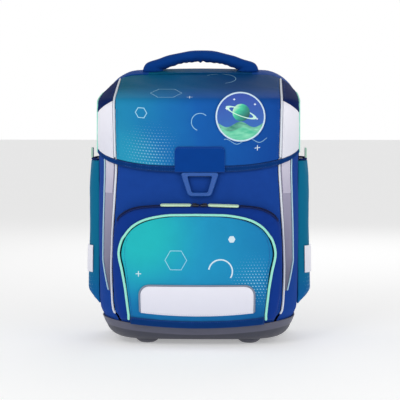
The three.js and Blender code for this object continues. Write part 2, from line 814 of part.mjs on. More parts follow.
// The gusset runs from the body's wall to just behind the seam of the pocket's front.
function gussetFace(u, v) {
  const spot = v * (POCKET_STATIONS.length - 1);
  const station = POCKET_STATIONS[Math.floor(spot)];
  const next = POCKET_STATIONS[Math.min(Math.floor(spot) + 1, POCKET_STATIONS.length - 1)];
  const side = station.side;
  const edge = pocketEdge(between(station.share, next.share, spot % 1));
  const inward = lookUp(GUSSET_PROFILE, "at", "side", u);
  const x = side * between(edge.mouth, edge.seam + GAP, inward);
  const up = between(edge.mouthUp, edge.seamUp + GAP, inward);
  const depth = edge.deep + pocketCrown(edge.seam) - POCKET_SEAM_ROOM - GAP;
  return wallFront(x, up, between(POCKET_WALL + GAP / 3, depth, lookUp(GUSSET_PROFILE, "at", "deep", u)));
}
const gusset = slab(3, POCKET_STATIONS.length - 1, gussetFace, lifted(gussetFace, -POCKET_WALL));
piece("pocket_gusset", gusset, COLOR.royal, CLOTH);

function pocketPipingPoints() {
  return POCKET_STATIONS.map(({ side, share }) => {
    const edge = pocketEdge(share);
    return wallFront(side * edge.seam, edge.seamUp, edge.deep + pocketCrown(edge.seam));
  });
}
piece("pocket_piping", tube(pocketPipingPoints(), POCKET_PIPING_RADIUS, 46), COLOR.mint, CLOTH);

// Zip along the gusset, close to the body

function zipFace(u, v) {
  const along = between(ZIP_END, 1 - ZIP_END, v);
  const edge = gussetFace(ZIP_PLACE, along);
  const across = gussetFace(2 * ZIP_PLACE, along).sub(edge).normalize();
  return edge.addScaledVector(across, u * ZIP_WIDTH);
}
piece(
  "pocket_zip",
  slab(1, 24, lifted(zipFace, GAP * 2 + OVERLAY), lifted(zipFace, GAP * 2)),
  COLOR.navy,
  CLOTH,
);

function capsule(length, width) {
  const round = width / 2;
  const half = length / 2 - round;
  const shape = new THREE.Shape();
  shape.moveTo(-half, -round);
  shape.lineTo(half, -round);
  shape.absarc(half, 0, round, -Math.PI / 2, Math.PI / 2);
  shape.lineTo(-half, round);
  shape.absarc(-half, 0, round, Math.PI / 2, Math.PI * 1.5);
  return shape;
}

// Sliders and pulls lie on the zip, with their backs turned to the slope of the gusset.
const zipMiddle = lifted(zipFace, GAP * 3 + OVERLAY)(0.5, 0.5);
const zipOut = zipMiddle.clone().sub(zipFace(0.5, 0.5)).normalize();

function onZip(name, geometry, x, turn, color) {
  const holder = new THREE.Group();
  holder.position.set(x, zipMiddle.y, zipMiddle.z);
  holder.rotation.x = -Math.atan2(zipOut.z, -zipOut.y);
  const part = piece(name, geometry, color, MOULDED);
  part.rotation.y = turn;
  holder.add(part);
  bag.add(holder);
}

for (const { label, side } of MIRRORED) {
  const slider = plate(capsule(SLIDER_LENGTH, ZIP_WIDTH), -SLIDER_THICKNESS, 0, 3);
  onZip(`zip_slider_${label}`, slider, LOCK_SHIFT + side * (SLIDER_LENGTH / 2 + GAP), 0, COLOR.black);

  const turn = side > 0 ? -PULL_DROOP : 0;
  const middle = PULL_LENGTH / 2;
  const pull = plate(capsule(PULL_LENGTH, PULL_WIDTH), -PULL_THICKNESS, 0, 4).translate(side * middle, 0, 0);
  const start = LOCK_SHIFT + side * (SLIDER_LENGTH + 3 * GAP);
  onZip(`zip_pull_${label}`, pull, start, turn, COLOR.cream);
}

// Reflective band, its trim and the pocket's hem

function bandTop(x) {
  const past = Math.max(Math.abs(x) - (BAND_HALF_WIDTH - BAND_CORNER), 0) / BAND_CORNER;
  return BAND_TOP - BAND_CORNER * (1 - Math.sqrt(Math.max(1 - past * past, 0)));
}

function bandBottom(x) {
  return BAND_BOTTOM - BAND_SAG * (1 - (x / BAND_HALF_WIDTH) ** 2);
}

const BAND_COLUMNS = [-1, -0.985, -0.95, -0.9, -0.84, -0.5, 0, 0.5, 0.84, 0.9, 0.95, 0.985, 1];

function bandFace(outwards) {
  return (u, v) => {
    const x = BAND_COLUMNS[Math.round(u * (BAND_COLUMNS.length - 1))] * BAND_HALF_WIDTH;
    return onPocket(x, between(bandBottom(x), bandTop(x), v), outwards);
  };
}
const bandSlab = slab(BAND_COLUMNS.length - 1, 5, bandFace(2 * GAP + OVERLAY), bandFace(2 * GAP));
piece("reflective_band", bandSlab, COLOR.white, FILM);

function trimPoints() {
  const edge = BAND_HALF_WIDTH + FINE_PIPING_RADIUS + GAP;
  const turn = BAND_CORNER + FINE_PIPING_RADIUS + GAP;
  const top = BAND_TOP + FINE_PIPING_RADIUS + GAP;
  const corner = steps(4).map((share) => {
    const angle = (share * Math.PI) / 2;
    return [edge - turn * (1 - Math.cos(angle)), top - turn * (1 - Math.sin(angle))];
  });
  const right = [[edge, BAND_BOTTOM + 1], ...corner];
  const left = right.map(([x, height]) => [-x, height]).reverse();
  return [...right, [0, top], ...left].map(([x, height]) => onPocket(x, height, FINE_PIPING_RADIUS + GAP));
}
piece("band_trim", tube(trimPoints(), FINE_PIPING_RADIUS, 36), COLOR.lilac, CLOTH);

function hemFace(outwards) {
  return (u, v) => {
    const x = between(-1, 1, u) * (pocketEdge(POCKET_START).seam - POCKET_SEAM_ROOM);
    const low = rimHeight(x);
    return onPocket(x, between(low, low + POCKET_HEM, v), outwards);
  };
}
piece("pocket_hem", slab(10, 1, hemFace(2 * GAP + OVERLAY), hemFace(2 * GAP)), COLOR.royal, CLOTH);

// Lid

// Lower edge of the hem, and the line where the hem meets the flap, for a share of the span to the wing's edge.
function hemLow(share) {
  return HEM_HEIGHT + HEM_RISE * Math.abs(share) ** 3.2 - SIDE_TOP;
}

function hemHigh(share) {
  return hemLow(share) + HEM_BAND * (1 - 0.35 * share * share);
}

function spanShare(section, span) {
  return span / wingEdge(section);
}

// Row of the flap between its lower edge and the strip: even steps down the front, then over the knuckle.
const FLAP_DROPS = [1, 0.66, 0.33, 0];
const FLAP_ROWS = FLAP_DROPS.length + LID_RUNS.length;

function flapRun(low, v) {
  const row = Math.round(v * FLAP_ROWS);
  if (row < FLAP_DROPS.length) return low * FLAP_DROPS[row];
  return [...LID_RUNS, STRIP_RUN - GAP][row - FLAP_DROPS.length];
}

function seamShare(u) {
  const section = sectionAt(0);
  return (between(-1, 1, u) * flapSeam(section)) / wingEdge(section);
}

piece(
  "flap_panel",
  bagWall(
    8,
    FLAP_ROWS,
    (section, u) => between(-1, 1, u) * (flapSeam(section) - SEAM_ROOM),
    (u, v) => flapRun(hemHigh(seamShare(u)) + GAP, v),
    FLAP_CLEARANCE,
    FLAP_TOP,
  ),
  COLOR.print,
  CLOTH,
);

// Where the wing changes from navy cloth to reflective film, from the seam (0) to the wing's edge (1).
function wingSplit(share) {
  return KNUCKLE_RUN - WING_SPLIT_DROP * share;
}

// Point just past the wing's edge, square to it, at half the flap's thickness.
function besideEdge(side, run, room) {
  const STEP = 0.1;
  const at = (place, extra) => {
    const section = sectionAt(place);
    return onBag(section, side * (wingEdge(section) + extra), FLAP_CLEARANCE + FLAP_WALL / 2);
  };
  const edge = at(run, 0);
  const along = at(run + STEP, 0).sub(edge).normalize();
  const down = at(run, STEP).sub(edge);
  const away = down.addScaledVector(along, -down.dot(along)).normalize();
  return edge.addScaledVector(away, room);
}

function wingSpan(section, u) {
  return between(flapSeam(section) + SEAM_ROOM, wingEdge(section), u);
}

function wingShare(u) {
  const section = sectionAt(0);
  return spanShare(section, wingSpan(section, u));
}

for (const { label, side } of MIRRORED) {
  const upperRuns = [...LID_RUNS.filter((run) => run > KNUCKLE_RUN), STRIP_RUN - GAP];
  const upper = bagWall(
    5,
    upperRuns.length + 1,
    (section, u) => side * wingSpan(section, u),
    (u, v) => {
      const start = wingSplit(u) + GAP;
      return pick([start, between(start, upperRuns[0], 0.5), ...upperRuns], v);
    },
    FLAP_CLEARANCE,
    FLAP_TOP,
  );
  piece(`flap_wing_${label}`, upper, COLOR.navy, CLOTH);

  const film = bagWall(
    5,
    5,
    (section, u) => side * wingSpan(section, u),
    (u, v) => between(hemHigh(wingShare(u)) + GAP, wingSplit(u), v),
    FLAP_CLEARANCE,
    FLAP_TOP,
  );
  piece(`wing_reflector_${label}`, film, COLOR.white, FILM);

  const seamLow = hemHigh(spanShare(sectionAt(0), flapSeam(sectionAt(0)))) + PIPING_RADIUS + GAP;
  const lidRuns = [0, ...LID_RUNS, STRIP_RUN - PIPING_RADIUS - GAP];
  const seamRuns = [seamLow, seamLow / 2, ...lidRuns];
  const seam = pipingAlong(
    (section) => side * flapSeam(section),
    seamRuns,
    FLAP_TOP - 0.6,
    PIPING_RADIUS,
    30,
  );
  piece(`flap_piping_${label}`, seam, COLOR.white, CLOTH);

  const edgeRuns = [hemLow(1), hemLow(1) / 2, ...lidRuns];
  const edgePoints = edgeRuns.map((run) => besideEdge(side, run, PIPING_RADIUS + 3 * GAP));
  piece(`wing_piping_${label}`, tube(edgePoints, PIPING_RADIUS, 30), COLOR.mint, CLOTH);
}

piece(
  "flap_hem",
  bagWall(
    20,
    1,
    (section, u) => between(-1, 1, u) * wingEdge(section),
    (u, v) => {
      const share = between(-1, 1, u);
      return between(hemLow(share), hemHigh(share), v);
    },
    FLAP_CLEARANCE,
    FLAP_TOP,
  ),
  COLOR.royal,
  CLOTH,
);

piece(
  "lid_strip",
  bagWall(
    18,
    3,
    (section, u) => between(-1, 1, u) * (wingEdge(section) + 2 * SEAM_ROOM),
    (u, v) => between(STRIP_RUN, LID_RUN, v),
    FLAP_CLEARANCE,
    FLAP_TOP,
  ),
  COLOR.royal,
  CLOTH,
);

// Tab, round patch and lock

function tabFace(outwards) {
  const COLUMNS = [-1, -0.97, -0.92, -0.86, -0.4, 0, 0.4, 0.86, 0.92, 0.97, 1];
  return (u, v) => {
    const place = COLUMNS[Math.round(u * (COLUMNS.length - 1))] * TAB_HALF_WIDTH;
    const past = Math.max(Math.abs(place) - (TAB_HALF_WIDTH - TAB_CORNER), 0) / TAB_CORNER;
    const top = TAB_TOP - TAB_CORNER * (1 - Math.sqrt(Math.max(1 - past * past, 0)));
    return wallFront(LOCK_SHIFT + place, between(HEM_HEIGHT, top, v), outwards);
  };
}
piece("tab_patch", slab(10, 3, tabFace(TAB_FACE + FLAP_WALL), tabFace(TAB_FACE)), COLOR.royal, CLOTH);

// A flat plate on the front: it leans with the wall behind it and just clears it everywhere.
function seatOnFront(name, geometry, color, x, height, halfWidth, halfHeight, outwards) {
  const behind = (across, up) => wallFront(x + across, Math.min(height + up, SIDE_TOP), outwards).y;
  const yaw = (behind(halfWidth, 0) - behind(-halfWidth, 0)) / (2 * halfWidth);
  const lean = (behind(0, 0) - behind(0, -halfHeight)) / halfHeight;
  let y = Infinity;
  for (const u of steps(8)) {
    for (const v of steps(8)) {
      const across = between(-halfWidth, halfWidth, u);
      const up = between(-halfHeight, halfHeight, v);
      if (height + up <= SIDE_TOP) y = Math.min(y, behind(across, up) - yaw * across - lean * up);
    }
  }
  const holder = new THREE.Group();
  holder.position.set(x, y - GAP, height);
  holder.rotation.z = Math.atan(yaw);
  const part = piece(name, geometry, color, MOULDED);
  part.rotation.x = -Math.atan(lean);
  holder.add(part);
  bag.add(holder);
}

const disc = new THREE.Shape();
disc.absarc(0, 0, PATCH_RADIUS, 0, Math.PI * 2);
seatOnFront(
  "round_patch",
  plate(disc, -PATCH_THICKNESS, 0, 16),
  COLOR.teal,
  PATCH_SIDE,
  PATCH_HEIGHT,
  PATCH_RADIUS * 0.75,
  PATCH_RADIUS * 0.75,
  FLAP_TOP,
);

const ringShape = roundedTrapezium(RING_TOP_WIDTH, RING_BOTTOM_WIDTH, RING_HEIGHT, RING_CORNER);
const ringSlope = (RING_TOP_WIDTH - RING_BOTTOM_WIDTH) / RING_HEIGHT;
const holeHeight = RING_HEIGHT - 1.6 * RING_BAR;
ringShape.holes.push(
  roundedTrapezium(
    RING_TOP_WIDTH - RING_BAR * (2 + ringSlope),
    RING_BOTTOM_WIDTH - RING_BAR * (2 - ringSlope),
    holeHeight,
    RING_CORNER / 2,
  ),
);
seatOnFront(
  "lock_ring",
  plate(ringShape, -RING_THICKNESS, 0, 4),
  COLOR.print,
  LOCK_SHIFT,
  HEM_HEIGHT - GAP - RING_HEIGHT / 2,
  RING_TOP_WIDTH / 2,
  RING_HEIGHT / 2,
  FLAP_CLEARANCE,
);

seatOnFront(
  "lock_catch",
  plate(roundedRectangle(CATCH_WIDTH, CATCH_HEIGHT, 3), -CATCH_THICKNESS, 0, 3),
  COLOR.grey,
  LOCK_SHIFT,
  HEM_HEIGHT + CATCH_HEIGHT / 2 - RING_BAR,
  CATCH_WIDTH / 2,
  CATCH_HEIGHT / 2,
  0,
);

// Side pockets

// Face of a side pocket: u from its front edge to its back edge, v from its foot to its mouth.
function sidePocketFace(side, outwards) {
  return (u, v) => {
    const section = wallSection(between(SIDE_POCKET_BOTTOM, SIDE_POCKET_TOP, v));
    const first = cornerSpan(section) + section.reach - CORNER_RADIUS - (BODY_DEPTH - SIDE_POCKET_FRONT);
    const last = fullSpan(section) - SIDE_POCKET_BACK;
    const edge = 1 - Math.abs(2 * u - 1) ** 5;
    const bulge = SIDE_POCKET_BULGE * lookUp(SIDE_POCKET_ROWS, "up", "out", v) * edge;
    return onBag(section, side * between(first, last, u), GAP + bulge + outwards);
  };
}

// A face on the pocket that spreads its columns so that the steep ends are well drawn.
function spread(face) {
  return (u, v) => {
    const pull = 2 * u - 1;
    return face((1 + Math.sign(pull) * Math.abs(pull) ** 0.55) / 2, v);
  };
}

for (const { label, side } of MIRRORED) {
  const outer = spread(sidePocketFace(side, POCKET_WALL));
  const inner = spread(sidePocketFace(side, 0));
  piece(`side_pocket_${label}`, slab(10, 12, outer, inner), COLOR.teal, CLOTH);

  const share = (height) => (height - SIDE_POCKET_BOTTOM) / (SIDE_POCKET_TOP - SIDE_POCKET_BOTTOM);
  const labelFace = (lift) => (u, v) => {
    const along = between(SIDE_LABEL_FRONT, SIDE_LABEL_BACK, u);
    return sidePocketFace(side, POCKET_WALL + lift)(along, share(between(SIDE_LABEL_BOTTOM, SIDE_LABEL_TOP, v)));
  };
  piece(
    `side_label_${label}`,
    slab(4, 2, labelFace(4 * GAP + OVERLAY), labelFace(4 * GAP)),
    COLOR.white,
    FILM,
  );

  const rim = steps(14).map((along) => {
    const low = outer(along, 1);
    const high = inner(along, 1);
    return low.add(high).divideScalar(2).setZ(SIDE_POCKET_TOP + PIPING_RADIUS + GAP);
  });
  rim.forEach((point) => {
    point.x = side * Math.max(Math.abs(point.x), BODY_HALF_WIDTH + PIPING_RADIUS + GAP);
  });
  piece(`side_pocket_binding_${label}`, tube(rim, PIPING_RADIUS, 26), COLOR.navy, CLOTH);

  const tabShape = roundedRectangle(SIDE_TAB_THICKNESS, SIDE_TAB_HEIGHT, 1);
  const tab = piece(
    `side_tab_${label}`,
    plate(tabShape, -SIDE_TAB_WIDTH, 0, 2),
    COLOR.cream,
    MOULDED,
  );
  const seat = rim[4];
  const tabMiddle = SIDE_POCKET_TOP + 2 * (PIPING_RADIUS + GAP) + SIDE_TAB_HEIGHT / 2;
  tab.position.set(seat.x, seat.y + SIDE_TAB_WIDTH / 2, tabMiddle);
}

// Grip

// Height of the lid's outer face over a place in plan.
function lidTop(x, y, outwards) {
  let low = 0;
  let high = LID_RUN;
  for (let round = 0; round < 24; round += 1) {
    const run = (low + high) / 2;
    const section = sectionAt(run);
    if (onBag(section, spanAt(section, Math.abs(x)), outwards).y < y) low = run;
    else high = run;
  }
  const section = sectionAt(low);
  return onBag(section, spanAt(section, Math.abs(x)), outwards).z;
}

function grip() {
  const count = 10;
  const footHeight = (x, y) => lidTop(x, y, FLAP_TOP) + GAP;
  const foot = GRIP_SECTIONS.at(-1);
  const seat = footHeight(foot.x, -GRIP_SETBACK);
  const half = (side) => GRIP_SECTIONS.map((section) => ({ ...section, side }));
  const sections = [...half(-1).reverse(), ...half(1).slice(1)];
  return loft(
    sections.map(({ x, up, wide, tall, side }) =>
      Array.from({ length: count }, (_, index) => {
        const angle = (index / count) * Math.PI * 2;
        const px = side * (x + wide * Math.cos(angle));
        const py = -GRIP_SETBACK + (GRIP_DEPTH / 2) * Math.sin(angle);
        const lid = footHeight(px, Math.min(py, -1));
        const pz = up === 0 ? lid : Math.max(seat + up + tall * Math.cos(angle), lid + up / 10);
        return new THREE.Vector3(px, py, pz);
      }),
    ),
  );
}
piece("handle_grip", grip(), COLOR.royal, CLOTH);

// Back pads and straps

function pad(low, high, inset) {
  const shape = roundedRectangle(2 * (PAD_HALF_WIDTH - inset), high - low, PAD_CORNER);
  const bevel = PAD_THICKNESS * 0.35;
  const settings = {
    depth: PAD_THICKNESS - 2 * bevel,
    bevelThickness: bevel,
    bevelSize: bevel,
    bevelOffset: -bevel,
    bevelSegments: 2,
    curveSegments: 5,
  };
  const geometry = new THREE.ExtrudeGeometry(shape, settings).rotateX(Math.PI / 2);
  return geometry.translate(0, PAD_BACK + PAD_THICKNESS - bevel, (low + high) / 2);
}
piece("back_pad_upper", pad(PAD_SPLIT + PAD_CHANNEL / 2, PAD_TOP, 0), COLOR.navy, CLOTH);
piece("back_pad_lower", pad(PAD_BOTTOM, PAD_SPLIT - PAD_CHANNEL / 2, PAD_LOWER_INSET), COLOR.navy, CLOTH);

// A band along a curve, level across its width.
function band(points, width, thickness, count, side) {
  const route = new THREE.CatmullRomCurve3(points, false, "centripetal");
  const face = (lift) => (u, v) => {
    const place = route.getPointAt(v);
    const tangent = route.getTangentAt(v);
    const across = new THREE.Vector3(1, 0, 0).addScaledVector(tangent, -tangent.x).normalize();
    const normal = new THREE.Vector3().crossVectors(across, tangent).normalize();
    return place.addScaledVector(across, width * (u - 0.5)).addScaledVector(normal, lift * side);
  };
  return slab(2, count, face(thickness / 2), face(-thickness / 2));
}

for (const { label, side } of MIRRORED) {
  const route = STRAP_ROUTE.map(
    (row) =>
      new THREE.Vector3(
        side * (STRAP_SIDE_TOP + STRAP_SPREAD * row.side),
        STRAP_BOW * row.out,
        STRAP_TOP - STRAP_DROP * row.down,
      ),
  );
  piece(`shoulder_strap_${label}`, band(route, STRAP_WIDTH, STRAP_THICKNESS, 22, 1), COLOR.navy, CLOTH);

  const end = route.at(-1);
  const away = end.clone().sub(route.at(-2)).normalize();
  const out = new THREE.Vector3(0, -away.z, away.y).normalize();
  const middle = end.clone().addScaledVector(away, GAP + ADJUSTER_LENGTH / 2);

  const frame = roundedRectangle(WEBBING_WIDTH + 3 * ADJUSTER_BAR, ADJUSTER_LENGTH, ADJUSTER_CORNER);
  const slotHeight = (ADJUSTER_LENGTH - 3 * ADJUSTER_BAR) / 2;
  for (const end of [-1, 1]) {
    const hole = new THREE.Path();
    const x = WEBBING_WIDTH / 2 + 1;
    const low = end * (slotHeight + ADJUSTER_BAR) * 0.5 - slotHeight / 2;
    hole.moveTo(-x, low);
    hole.lineTo(-x, low + slotHeight);
    hole.lineTo(x, low + slotHeight);
    hole.lineTo(x, low);
    hole.closePath();
    frame.holes.push(hole);
  }
  const adjuster = plate(frame, -ADJUSTER_THICKNESS / 2, ADJUSTER_THICKNESS / 2, 3);
  const upwards = away.clone().negate();
  const crosswise = new THREE.Vector3().crossVectors(out, upwards).normalize();
  const turn = new THREE.Matrix4().makeBasis(crosswise, out, upwards).setPosition(middle);
  piece(`strap_adjuster_${label}`, adjuster.applyMatrix4(turn), COLOR.black, MOULDED);

  const layer = ADJUSTER_THICKNESS / 2 + WEBBING_THICKNESS / 2 + GAP;
  const at = (along, lift) => middle.clone().addScaledVector(upwards, along).addScaledVector(out, lift);
  const slotMiddle = (slotHeight + ADJUSTER_BAR) / 2;
  const foot = new THREE.Vector3(middle.x, PAD_BACK + WEBBING_THICKNESS, WEBBING_FOOT);
  const tail = at(-WEBBING_TAIL, layer + 2);
  const path = [
    foot,
    foot.clone().lerp(at(-ADJUSTER_LENGTH, -layer), 0.5),
    at(-ADJUSTER_LENGTH * 0.7, -layer),
    at(0, -layer),
    at(slotMiddle - 1, -layer),
    at(slotMiddle + 1, 0),
    at(slotMiddle - 1, layer),
    at(0, layer),
    at(-ADJUSTER_LENGTH * 0.7, layer),
    tail,
  ];
  piece(
    `strap_webbing_${label}`,
    band(path, WEBBING_WIDTH, WEBBING_THICKNESS, 40, 1),
    COLOR.royal,
    CLOTH,
  );
}

// The frame's origin is the middle of the footprint, on the ground.
const extent = new THREE.Box3().setFromObject(bag, true);
bag.position.set(-(extent.min.x + extent.max.x) / 2, -(extent.min.y + extent.max.y) / 2, -extent.min.z);

const group = new THREE.Group();
group.add(bag);
export default group;
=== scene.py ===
"""A child's school ransel: sewn cloth panels, pipings, reflective film, zip, grip and straps over the frame.

Sizes are millimetres in the bag's own frame: +Z is up, -Y is the front, and y = 0 is the plane where the back
panel starts. place() turns such points into metres in the row frame.
"""

import math
from types import SimpleNamespace

import bpy
import numpy as np
from mathutils import Matrix, Vector


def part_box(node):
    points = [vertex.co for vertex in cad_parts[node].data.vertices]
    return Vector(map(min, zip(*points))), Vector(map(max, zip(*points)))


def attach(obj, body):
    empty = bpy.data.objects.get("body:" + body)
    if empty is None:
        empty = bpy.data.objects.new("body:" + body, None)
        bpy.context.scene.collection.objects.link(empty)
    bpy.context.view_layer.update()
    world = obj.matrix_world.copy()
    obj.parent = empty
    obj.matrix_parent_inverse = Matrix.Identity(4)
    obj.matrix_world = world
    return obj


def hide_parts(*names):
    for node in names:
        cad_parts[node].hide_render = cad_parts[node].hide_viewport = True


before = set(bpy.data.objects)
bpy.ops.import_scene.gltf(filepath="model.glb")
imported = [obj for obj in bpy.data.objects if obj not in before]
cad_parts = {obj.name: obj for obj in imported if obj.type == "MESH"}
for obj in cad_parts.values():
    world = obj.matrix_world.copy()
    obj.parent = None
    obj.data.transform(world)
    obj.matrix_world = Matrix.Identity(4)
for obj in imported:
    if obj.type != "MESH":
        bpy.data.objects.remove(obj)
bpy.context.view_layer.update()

MM = 0.001
GAP = 0.3
BACK_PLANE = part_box("back_panel")[0][1] - GAP * MM  # row y of the bag's back plane, in metres

# The bag's form, as the frame has it
BODY_HALF_WIDTH = 147
BODY_DEPTH = 172
SIDE_TOP = 345
LID_RISE = 51
CORNER_RADIUS = 45
FRONT_BOW = 9
LID_CROWN = 5
LID_NARROWING = 0.05
BODY_WALL = 2
FLAP_WALL = 2
FLAP_CLEARANCE = 2.8
FLAP_TOP = FLAP_CLEARANCE + FLAP_WALL
POCKET_WALL = 1.6
BACK_WALL = 4
OVERLAY = 0.8
WALL_START = 20  # cloth walls start here, inside the base's rim

# Base
TRAY_FLOOR = 8
TRAY_WALL = 2.6
TRAY_RIM = 40.5
TRAY_FRONT_RIM = 27
TRAY_BACK_RADIUS = 7
TRAY_LEDGE = 11  # height of the smooth band under the rim
TRAY_LEDGE_STEP = 0.7
FOOT_SPREAD = 75
FOOT_INSET = 36
FOOT_TOP_RADIUS = 19
FOOT_FACE_RADIUS = 8

# Lid
WING_WRAP = 1.17
FLAP_PANEL_SHARE = 0.8
KNUCKLE_RUN = 12
WING_SPLIT_DROP = 18
STRIP_DEPTH = 36
STRIP_SHADED_PRINT_HALF = 84  # between the grip's feet the strip has the print's colours, darkened as painted shade under the grip, and it is plain outside them
HEM_HEIGHT = 253
HEM_RISE = 27
HEM_BAND = 9
LOCK_SHIFT = 3.5
TAB_HALF_WIDTH = 36
TAB_TOP = 290
TAB_CORNER = 6
PATCH_RADIUS = 36
PATCH_THICKNESS = 2.6
PATCH_SIDE = 62
PATCH_HEIGHT = 333
PLANET_SIDE = 1.0  # the patch's planet, from the patch's middle
PLANET_UP = 6.0
PLANET_RADIUS = 12.5
RING_TOP_WIDTH = 56
RING_BOTTOM_WIDTH = 33
RING_HEIGHT = 34.5
RING_BAR = 6.5
RING_THICKNESS = 5
RING_CORNER = 7
CATCH_WIDTH = 44
CATCH_HEIGHT = 20
CATCH_THICKNESS = 1.8
CATCH_CORNER = 3

# Front pocket
POCKET_HALF_WIDTH = 107.5
POCKET_TOP = 192.5
POCKET_DEPTH = 25
POCKET_CROWN = 4
POCKET_MOUTH_HALF_WIDTH = 121
POCKET_MOUTH_TOP = 206
POCKET_HEM = 11
POCKET_START = 0.03
BAND_HALF_WIDTH = 80
BAND_TOP = 90
BAND_BOTTOM = 50.5
BAND_SAG = 4.5
BAND_CORNER = 13
ZIP_WIDTH = 7
ZIP_END = 0.26
ZIP_PLACE = 0.12
TOOTH_PITCH = 1.7
SLIDER_LENGTH = 11
SLIDER_THICKNESS = 3
PULL_LENGTH = 45
PULL_WIDTH = 7.2
PULL_THICKNESS = 3
PULL_DROOP = -0.09

# Side pockets
SIDE_POCKET_BULGE = 16
SIDE_POCKET_TOP = 268
SIDE_POCKET_BOTTOM = 57
SIDE_POCKET_FRONT = 44
SIDE_POCKET_BACK = 16
SIDE_LABEL_TOP = 142
SIDE_LABEL_BOTTOM = 102
SIDE_LABEL_FRONT = 0.05
SIDE_LABEL_BACK = 0.3

# Corner reflectors and pipings
REFLECTOR_TOP = 276
REFLECTOR_TIP = 80
REFLECTOR_PATCH_FOOT = 222
REFLECTOR_WIDTH = 17
PIPING_RADIUS = 1.6
POCKET_PIPING_RADIUS = 1.8
FINE_PIPING_RADIUS = 1.1
PIPING_FOOT = 46
SEAM_ROOM = PIPING_RADIUS + 2 * GAP
POCKET_SEAM_ROOM = POCKET_PIPING_RADIUS + 2 * GAP

# Grip, back and straps
GRIP_DEPTH = 25
GRIP_SETBACK = 19
PAD_BACK = GAP * 2 + BACK_WALL
PAD_THICKNESS = 11
PAD_HALF_WIDTH = 112
PAD_TOP = 334
PAD_SPLIT = 176
PAD_BOTTOM = 58
PAD_CHANNEL = 12
PAD_LOWER_INSET = 28
PAD_CORNER = 26
STRAP_WIDTH = 58
STRAP_THICKNESS = 9
STRAP_BOW = 72
STRAP_TOP = 347
STRAP_DROP = 222
STRAP_SIDE_TOP = 44
STRAP_SPREAD = 60
WEBBING_WIDTH = 25
WEBBING_THICKNESS = 1.6
WEBBING_TAIL = 70
WEBBING_FOOT = 56
WEBBING_STEP = 1.2  # spacing of its sections
ADJUSTER_LENGTH = 28
ADJUSTER_BAR = 3
ADJUSTER_SIDE = 3.5
ADJUSTER_THICKNESS = 4

# How the cloth is drawn
CELL = 3.2  # grid of a cloth panel
ROUNDING = 1.1  # turned edge of a cloth panel
INSIDE = 9  # distance from the edge, in the cloth attribute, of a face whose edge is not made paler
STITCH_INSET = 3
STITCH_PITCH = 3.4
STITCH_LENGTH = 2.5
STITCH_WIDTH = 0.6

# Camera, from the photograph: it looks slightly down and stands slightly to the right
CAMERA_AZIMUTH = 1.7
CAMERA_ELEVATION = 3.5
CAMERA_DISTANCE = 2.4
CAMERA_LENS = 149
CAMERA_TARGET = (0.0036, -0.105, 0.2125)
SKY_LEVEL = 0.3
FLOOR_REACH = 12

# Upright walls. up: share of SIDE_TOP. half: share of BODY_HALF_WIDTH. reach: share of BODY_DEPTH.
# seam: front piping, as a share of the half width there.
WALLS = [
    dict(up=0.023, half=0.8, reach=0.9, seam=0.82),
    dict(up=0.038, half=0.85, reach=0.94, seam=0.82),
    dict(up=0.058, half=0.89, reach=0.965, seam=0.82),
    dict(up=0.087, half=0.92, reach=0.985, seam=0.82),
    dict(up=0.118, half=0.95, reach=0.99, seam=0.83),
    dict(up=0.148, half=0.985, reach=1.0, seam=0.845),
    dict(up=0.19, half=0.995, reach=1.0, seam=0.85),
    dict(up=0.32, half=1.0, reach=1.0, seam=0.855),
    dict(up=0.46, half=1.0, reach=0.99, seam=0.845),
    dict(up=0.64, half=1.0, reach=0.975, seam=0.82),
    dict(up=0.76, half=1.0, reach=0.965, seam=0.805),
    dict(up=1.0, half=1.0, reach=0.94, seam=0.81),
]

# Side view of the lid. forward: share of the reach at SIDE_TOP. rise: share of LID_RISE.
LID_PROFILE = [
    dict(forward=1.0, rise=0.0),
    dict(forward=0.995, rise=0.12),
    dict(forward=0.965, rise=0.24),
    dict(forward=0.905, rise=0.32),
    dict(forward=0.78, rise=0.43),
    dict(forward=0.58, rise=0.6),
    dict(forward=0.38, rise=0.76),
    dict(forward=0.19, rise=0.9),
    dict(forward=0.0, rise=1.0),
]

# Front pocket from its lower end (spot 0) up to the middle of its top. seam and seam_up: shares of
# POCKET_HALF_WIDTH and POCKET_TOP. deep: share of POCKET_DEPTH. mouth and mouth_up: where the gusset meets the
# body, as shares of POCKET_MOUTH_HALF_WIDTH and POCKET_MOUTH_TOP.
POCKET_EDGE = [
    dict(spot=0, seam=0.895, seam_up=0.13, deep=0.3, mouth=0.9, mouth_up=0.12),
    dict(spot=1, seam=0.935, seam_up=0.385, deep=0.8, mouth=0.985, mouth_up=0.36),
    dict(spot=2, seam=0.97, seam_up=0.57, deep=0.96, mouth=1.0, mouth_up=0.54),
    dict(spot=3, seam=1.0, seam_up=0.71, deep=1.0, mouth=0.99, mouth_up=0.7),
    dict(spot=4, seam=0.975, seam_up=0.81, deep=0.96, mouth=0.98, mouth_up=0.83),
    dict(spot=5, seam=0.905, seam_up=0.88, deep=0.9, mouth=0.945, mouth_up=0.91),
    dict(spot=6, seam=0.79, seam_up=0.935, deep=0.83, mouth=0.86, mouth_up=0.96),
    dict(spot=7, seam=0.61, seam_up=0.975, deep=0.77, mouth=0.69, mouth_up=0.99),
    dict(spot=8, seam=0.32, seam_up=0.998, deep=0.73, mouth=0.36, mouth_up=1.0),
    dict(spot=9, seam=0.0, seam_up=1.0, deep=0.72, mouth=0.0, mouth_up=1.0),
]

# The gusset between the body (at 0) and the front's seam (at 1). side and deep: shares of its way in and out.
GUSSET_PROFILE = [
    dict(at=0, side=0, deep=0),
    dict(at=0.45, side=0.3, deep=0.62),
    dict(at=1, side=1, deep=1),
]

